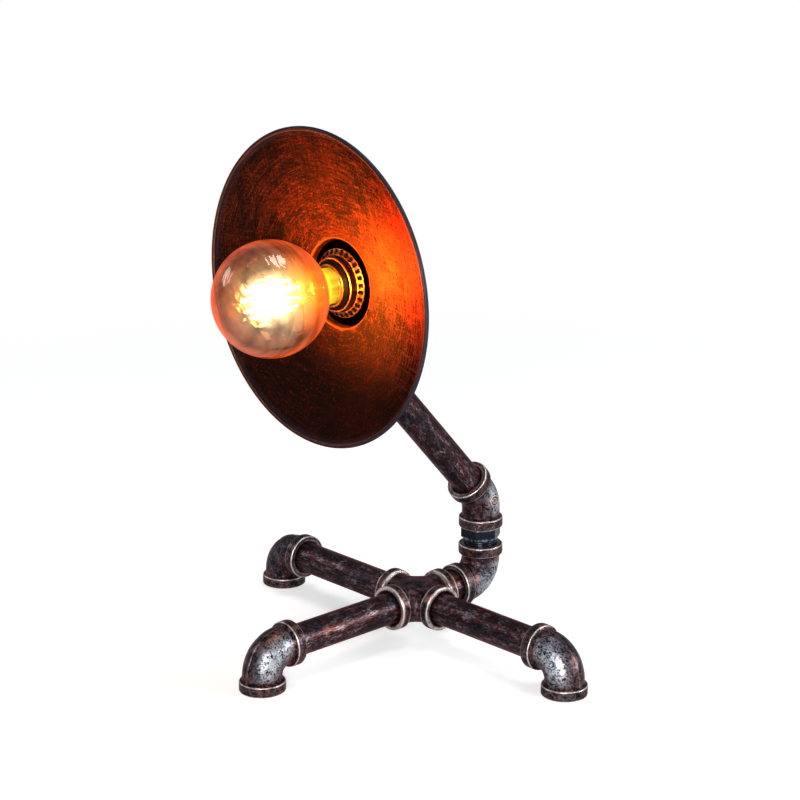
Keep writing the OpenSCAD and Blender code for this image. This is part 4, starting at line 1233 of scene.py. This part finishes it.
class BuildLampholder(PieceOperator, bpy.types.Operator):
    """Builds the lampholder's shell, core and screw shell and finishes its inner parts"""

    bl_idname = "pipe_lamp.lampholder"
    bl_label = "Lampholder"

    def execute(self, context):
        brass = finish("turned_brass", spun_brass, (0.24, 0.13, 0.035), (0.03, 0.014, 0.006), 0.7,
                       (0.2, 0.4), 0.2)
        outer, inner = SHELL_R, 18.5
        flange, flange_r = MOUTH + 0.05, 23.6
        shell = ([(SHELL_BACK, inner), (SHELL_BACK, outer - 0.3), (SHELL_BACK + 0.3, outer), (flange, outer),
                  (flange, flange_r + 0.1)]
                 + arc(flange + 0.5, flange_r, 0.45, 120, 60, 3, 0.5)
                 + [(flange + 1.6, flange_r, 0.3), (flange + 1.6, outer + 0.3), (flange + 2.0, outer)]
                 + evenly(flange + 3, SHELL_FRONT - 1.6, 8, outer, 0.1)
                 + arc(SHELL_FRONT - 0.7, outer - 0.7, 0.7, 90, 0, 4, 0.9)
                 + arc(SHELL_FRONT - 0.5, inner + 0.5, 0.5, 0, -90, 3, 0.8))
        dressed(lathe("lampholder_shell", shell, ON_HEAD, 144), "holder_shell", "head", brass)
        floor, pocket, body = CAP_TIP - 5.4, 14.6, 18.3
        core = ([(CORE_BACK, 0), (CORE_BACK, body - 0.5), (CORE_BACK + 0.5, body)]
                + evenly(CORE_BACK + 3, CORE_FRONT - 3.4, 6, body)
                + arc(CORE_FRONT - 2.4, body - 0.8, 0.8, 90, 30, 3) + [(CORE_FRONT - 0.5, body - 1.8, 0.2)]
                + arc(CORE_FRONT - 0.5, body - 2.6, 0.5, 60, 0, 3)
                + [(CORE_FRONT, pocket + 0.3), (CORE_FRONT - 0.4, pocket), (floor, pocket), (floor, 0)])
        core = lathe("lampholder_core", core, ON_HEAD, 144, closed=False)
        dressed(core, "holder_core", "head", black_insulator())
        thread_r, pitch, lip = 13.9, 3.6, pocket + 1.2

        def rolled(angle, height, radius):
            """A rolled thread between the mouth and the floor."""
            inside = (height < SCREW_FRONT - 2.2) & (height > floor + 1.5)
            wave = 0.28 * np.cos(2 * math.pi * (height / pitch - angle / (2 * math.pi)))
            return np.where(inside, radius + wave, radius)

        screw = (evenly(floor + 0.2, SCREW_FRONT - 0.5, 48, thread_r + 0.1)
                 + arc(SCREW_FRONT - 0.4, thread_r + 0.5, 0.4, 250, 360, 4, 0.9)
                 + [(SCREW_FRONT, lip - 0.4, 0.6)] + arc(SCREW_FRONT - 0.4, lip - 0.4, 0.4, 0, 120, 4, 0.9)
                 + [(SCREW_FRONT - 0.75, 14.5)] + evenly(SCREW_FRONT - 1.0, floor + 0.2, 48, 14.4))
        screw = lathe("rolled_screw_shell", screw, ON_HEAD, 144, wave=rolled)
        dressed(screw, "screw_shell", "head", brass)
        plain = finish("plain_brass", spun_brass, tuple(tones().brass), (0.12, 0.06, 0.02), 0.3,
                       (0.25, 0.4), 0.2)
        finished_node("centre_contact", plain)
        finished_node("terminal_screws", plain)
        return {"FINISHED"}


class BuildBulb(PieceOperator, bpy.types.Operator):
    """Builds the globe, its stem, and the threaded cap with its insulator and tip"""

    bl_idname = "pipe_lamp.bulb"
    bl_label = "Globe bulb"

    def execute(self, context):
        cap_r, wall, thread_depth = 13.2, 0.9, 0.9
        neck = cap_r - 0.3
        run = GLOBE_CENTRE - CAP_FRONT - 1
        fillet = (run * run + neck * neck - GLOBE_R * GLOBE_R) / (2 * (GLOBE_R - neck))
        join = math.asin((neck + fillet) / (GLOBE_R + fillet))
        fillet_z = GLOBE_CENTRE - (GLOBE_R + fillet) * math.cos(join)
        glass_end = CAP_FRONT - 2.1

        def side(inset):
            """Profile of the glass, set inwards by inset."""
            globe_r, throat_r = GLOBE_R - inset, fillet + inset
            globe = [(GLOBE_CENTRE + globe_r * math.cos(a), globe_r * math.sin(a))
                     for a in np.linspace(0, math.pi - join, 64, endpoint=False)]
            throat = [(fillet_z + throat_r * math.sin(a), neck + fillet - throat_r * math.cos(a))
                      for a in np.linspace(math.pi / 2 - join, 0, 14)]
            return globe + throat + [(glass_end, neck - inset)]

        amber = finish("amber_glass", lit_glass, (0.96, 0.85, 0.70), tuple(tones().glass_tint),
                       (1.0, 0.74, 0.42), 1.05, 0.85)
        globe = lathe("amber_globe", side(0) + side(wall)[::-1], ON_HEAD, 160, closed=False, sharp=80)
        dressed(globe, "bulb_glass", "bulb", amber)
        base, foot, rod = CAP_FRONT + 1, neck - wall - 0.1, 1.6
        top = GLOBE_CENTRE + 20
        stem = [(glass_end, 0), (glass_end, foot), (CAP_FRONT - 1, foot), (CAP_FRONT + 0.6, foot - 1.2)]
        stem += [(base + height, radius) for height, radius in (
            (2, 8.2), (4, 6.0), (7, 4.6), (9, 3.9), (10.5, 2.4), (12, rod))]
        stem += evenly(base + 16, GLOBE_CENTRE + 16, 8, rod)
        stem += [(top - 1, 1.7), (top, 1.9), (top + 0.7, 1.3), (top + 1, 0)]
        clear = finish("clear_glass", lit_glass, (0.99, 0.93, 0.82), (0.86, 0.62, 0.36), (1.0, 0.66, 0.3),
                       0.5, 0.5)
        dressed(lathe("glass_stem", stem, ON_HEAD, 72, closed=False), "bulb_stem", "bulb", clear)
        turns, start = 5, CAP_BACK + 1.4
        pitch = (CAP_FRONT - CAP_BACK - 5) / turns
        finish_z = start + pitch * turns
        crest, root = cap_r, cap_r - thread_depth

        def threads(angle, height, radius):
            """A rolled thread that fades out at both ends."""
            inside = (height > start) & (height < finish_z) & (radius > root - 0.6)
            wave = np.cos(2 * math.pi * ((height - start) / pitch - angle / (2 * math.pi)))
            ease = np.clip(np.minimum(height - start, finish_z - height) / 1.6, 0, 1)
            return np.where(inside, radius - (0.5 + 0.5 * wave) * thread_depth * ease, radius)

        cap = [(CAP_BACK + 0.6, 5), (CAP_BACK, 5), (CAP_BACK, root - 2.2, 0.2),
               (CAP_BACK + 0.3, root - 1.4, 0.4), (CAP_BACK + 1.2, crest - 0.35, 0.3)]
        cap += evenly(start, finish_z, 76, crest, 0.15)
        cap += [(finish_z + 1, crest, 0.1), (CAP_FRONT - 0.3, crest, 0.4), (CAP_FRONT, crest - 0.1, 0.9),
                (CAP_FRONT, crest - 0.25, 0.6), (finish_z + 1.4, crest - 0.25), (finish_z, root - 0.7),
                (start + 0.6, root - 0.7), (CAP_BACK + 0.6, root - 2.4)]
        # The cap's brass gets a painted glow near its mouth.
        brass = finish("cap_brass", spun_brass, (0.80, 0.54, 0.16), (0.20, 0.10, 0.03), 0.4,
                       (0.18, 0.34), 0.1, 1.5)
        dressed(lathe("threaded_cap", cap, ON_HEAD, 160, wave=threads), "bulb_cap", "bulb", brass)
        ring = [(CAP_TIP + 1, 2.2), (CAP_TIP + 0.8, 4.8)]
        ring += [(CAP_TIP + 0.9 + 1.9 * t, 5.2 + 3.8 * t ** 0.7) for t in (0.1, 0.3, 0.6, 1.0)]
        ring += [(CAP_BACK - 0.05, 8.8), (CAP_BACK - 0.05, 2.2)]
        ring = lathe("cap_insulator", ring, ON_HEAD, 96)
        dressed(ring, "bulb_insulator", "bulb", black_insulator())
        tip = [(CAP_TIP + height, radius, wear) for height, radius, wear in (
            (0, 0, 0.5), (0.02, 1.4, 0.5), (0.15, 2.6, 0.4), (0.4, 3.8, 0.2), (0.7, 4.4, 0), (0.85, 3.6, 0),
            (0.9, 2.1, 0))]
        tip = lathe("contact_tip", tip + [(CAP_BACK, 2.1), (CAP_BACK, 0)], ON_HEAD, 72, closed=False)
        dressed(tip, "bulb_tip", "bulb", finish("bright_wire", bright_wire))
        return {"FINISHED"}


class BuildFilament(PieceOperator, bpy.types.Operator):
    """Builds the glowing filament, its support wires and its two lead wires"""

    bl_idname = "pipe_lamp.filament"
    bl_label = "Filament"

    def execute(self, context):
        loops, thickness = sizes().filament_loops, sizes().filament_wire
        sweep_degrees, ring, length = 330, 11.0, 34.0
        sweep = math.radians(sweep_degrees)
        glow, wire = finish("filament_glow", filament_glow), finish("bright_wire", bright_wire)
        strand = grown("glowing_filament", hung_wire_tree(), {
            "Loops": loops, "Radius": ring * MM, "Length": length * MM, "Height": GLOBE_CENTRE * MM,
            "Sweep": sweep, "Thickness": thickness, "Material": glow}, ON_HEAD)
        dressed(strand, "filament", "bulb", glow)
        reach = ring - thickness / MM / 2 - 1.7
        profile = [(0, 0), (0.05, 0.25), (reach * 0.5, 0.22), (reach - 0.3, 0.25), (reach, 0.32), (reach, 0)]
        rod = lathe("support_rod", profile, spin(90, "Y"), 12, closed=False)
        step = sweep / loops
        low, high = GLOBE_CENTRE - length / 2, GLOBE_CENTRE + length / 2
        made = []
        for label, first, height, count in (("low", step, low, loops - 1), ("high", step / 2, high, loops)):
            made.append(grown("supports_" + label, repeat_round_tree(), {
                "Piece": rod, "Count": count, "Radius": 1.65 * MM, "Height": height * MM,
                "First angle": first, "Sweep": step * count, "Material": wire}, ON_HEAD))
        removed([rod])
        dressed(joined(made[0], made[1:]), "support_wires", "bulb", wire)
        foot_r, foot_z = 4.6, CAP_FRONT + 9.6
        rise, run = low - foot_z, ring - foot_r
        long = math.hypot(rise, run) - thickness / MM / 2 - 0.05
        profile = [(0, 0), (0, 0.4), (long * 0.3, 0.38), (long * 0.6, 0.4), (long - 0.5, 0.4), (long, 0.3),
                   (long, 0)]
        slant = placed(foot_r, 0, foot_z, spin(math.degrees(math.atan2(run, rise)), "Y"))
        leads = [lathe("lead", profile, ON_HEAD @ spin(turn, "Z") @ slant, 16, closed=False)
                 for turn in (0, sweep_degrees)]
        dressed(joined(leads[0], leads[1:]), "lead_wires", "bulb", wire)
        return {"FINISHED"}


class BuildWiring(PieceOperator, bpy.types.Operator):
    """Builds the rubber grommet and finishes the cable inside the pipes"""

    bl_idname = "pipe_lamp.wiring"
    bl_label = "Grommet and cable"

    def execute(self, context):
        rubber = finish("black_rubber", moulded, (0.010, 0.010, 0.011), (0.55, 0.75), 420.0, 0.06)
        seat, bore, inside = CORD_SEAT, 3.0, ELBOW_BEND + BORE_R + 0.4
        profile = [(inside, bore), (inside, 4.6), (seat, 4.6), (seat, 6.5)]
        profile += arc(seat + 0.6, 6.2, 0.6, 150, 60, 4, 0.2) + arc(seat + 1.3, 5.3, 0.7, 60, 0, 3, 0.4)
        profile += [(seat + 2, 4.2, 0.2)] + arc(seat + 1.5, bore + 0.5, 0.5, 0, -90, 4, 0.2)
        dressed(lathe("rubber_grommet", profile, IN_CORD_HOLE, 72), "cord_grommet", "base", rubber)
        for node in ("base_flex", "arm_flex", "head_flex"):
            finished_node(node, rubber)
        return {"FINISHED"}


def aimed(item, place, direction):
    """Puts a light or a camera in its place and points it."""
    item.location = place
    item.rotation_euler = Vector(direction).to_track_quat("-Z", "Y").to_euler()


def pale_floor(f):
    """White where the camera looks at it from afar, matt grey near the lamp."""
    seen = f.seen_plainly()
    matt = f.shader("ShaderNodeBsdfDiffuse", Color=(0.8, 0.8, 0.8))
    reach = f.add("ShaderNodeVectorMath", {0: f.place}, operation="LENGTH").outputs["Value"]
    far = f.span(reach, 0.35, 1.1, kind="SMOOTHSTEP")
    near = f.shader("ShaderNodeEmission", Color=(1, 1, 1), Strength=f.times(seen, 0.42))
    away = f.shader("ShaderNodeEmission", Color=(1, 1, 1), Strength=seen)
    close = f.add("ShaderNodeAddShader", {0: matt, 1: near}).outputs[0]
    return f.done(f.mix_shader(f.times(far, seen), close, away))


class BuildStage(PieceOperator, bpy.types.Operator):
    """Builds the pale floor, the studio light and the camera"""

    bl_idname = "pipe_lamp.stage"
    bl_label = "Stage, light and camera"

    def execute(self, context):
        self.floor_and_world(context.scene)
        self.lights()
        self.camera(context.scene)
        return {"FINISHED"}

    def floor_and_world(self, scene):
        """A floor and a world that look white, directly or through glass, and light the lamp less."""
        half = 4000.0
        corners = np.array([(-half, -half, 0), (half, -half, 0), (half, half, 0), (-half, half, 0)])
        floor = mesh_object("studio_floor", corners, [[0, 1, 2, 3]], Matrix.Identity(4))
        floor.data.materials.append(finish("pale_floor", pale_floor))
        world = bpy.data.worlds.new("studio_white")
        scene.world = world
        world.use_nodes = True
        w = Nodes(world.node_tree)
        plain = w.shader("ShaderNodeBackground", Color=(0.9, 0.94, 1.0), Strength=0.32)
        white = w.shader("ShaderNodeBackground", Color=(1, 1, 1), Strength=1.0)
        w.add("ShaderNodeOutputWorld", {"Surface": w.mix_shader(w.seen_plainly(), plain, white)})

    def lights(self):
        """Four soft boxes, and a spot light beside the filament that lights the shade."""
        towards = Vector((0, 0.02, 0.18))
        lamps = (("low_softbox", (0.95, -1.0, 0.5), 0.42, 17.0),
                 ("side_softbox", (1.2, 0.85, 0.55), 0.36, 13.0),
                 ("left_softbox", (-1.3, -0.7, 0.9), 0.5, 3.0),
                 ("top_softbox", (0.1, 0.3, 1.7), 0.7, 8.0))
        for name, spot, width, power in lamps:
            data = bpy.data.lights.new(name, "AREA")
            data.shape, data.size, data.energy = "DISK", width, power
            aimed(shown(name, data), spot, towards - Vector(spot))
        data = bpy.data.lights.new("filament_light", "SPOT")
        data.energy, data.color, data.shadow_soft_size = 9.4, (1.0, 0.44, 0.055), 0.012
        data.spot_size, data.spot_blend = math.radians(150), 0.5
        beside_filament = Vector((14, HEAD_Y - GLOBE_CENTRE + 10, HEAD_Z + 2)) * MM
        aimed(shown("filament_light", data), beside_filament, (0.16, 1, 0.26))

    def camera(self, scene):
        """The view fitted to the photo; its centre lies a little off the middle of the picture."""
        azimuth, elevation, distance = math.radians(46.57), math.radians(17.01), 1.8729
        focal, picture, sensor = 2498.8, 800, 36
        centre_x, centre_y = 416.37, 410.99
        level = math.cos(elevation)
        back = Vector((math.sin(azimuth) * level, -math.cos(azimuth) * level, math.sin(elevation)))
        data = bpy.data.cameras.new("photo_camera")
        data.lens = focal / picture * sensor
        data.shift_x, data.shift_y = (picture / 2 - centre_x) / picture, (centre_y - picture / 2) / picture
        data.clip_start, data.clip_end = 0.05, 30
        scene.camera = shown("photo_camera", data)
        aimed(scene.camera, Vector((0, CROSS_Y * MM, 0.18)) + back * distance, -back)
        scene.view_settings.view_transform = "Standard"


PIECES = (BuildElbows, BuildCross, BuildPipes, BuildNipples, BuildHeadCasting, BuildShade, BuildShadeRing,
          BuildLampholder, BuildBulb, BuildFilament, BuildWiring, BuildStage)


class LampPanel(bpy.types.Panel):
    """Lists the lamp's pieces and settings"""

    bl_idname = "VIEW3D_PT_pipe_lamp"
    bl_label = "Pipe table lamp"
    bl_space_type = "VIEW_3D"
    bl_region_type = "UI"
    bl_category = "Pipe lamp"

    def draw(self, context):
        for settings in (context.scene.pipe_lamp_sizes, context.scene.pipe_lamp_colours):
            column = self.layout.column(align=True)
            for name in settings.__annotations__:
                column.prop(settings, name)
        for piece in PIECES:
            self.layout.operator(piece.bl_idname)


CLASSES = (LampSizes, LampColours, *PIECES, LampPanel)


def register():
    for item in CLASSES:
        bpy.utils.register_class(item)
    bpy.types.Scene.pipe_lamp_sizes = PointerProperty(type=LampSizes)
    bpy.types.Scene.pipe_lamp_colours = PointerProperty(type=LampColours)


def unregister():
    del bpy.types.Scene.pipe_lamp_colours
    del bpy.types.Scene.pipe_lamp_sizes
    for item in reversed(CLASSES):
        bpy.utils.unregister_class(item)


def main():
    register()
    for piece in PIECES:
        group, name = piece.bl_idname.split(".")
        if getattr(getattr(bpy.ops, group), name)() != {"FINISHED"}:
            raise RuntimeError(piece.bl_label + " was not built")


if __name__ == "__main__":
    main()
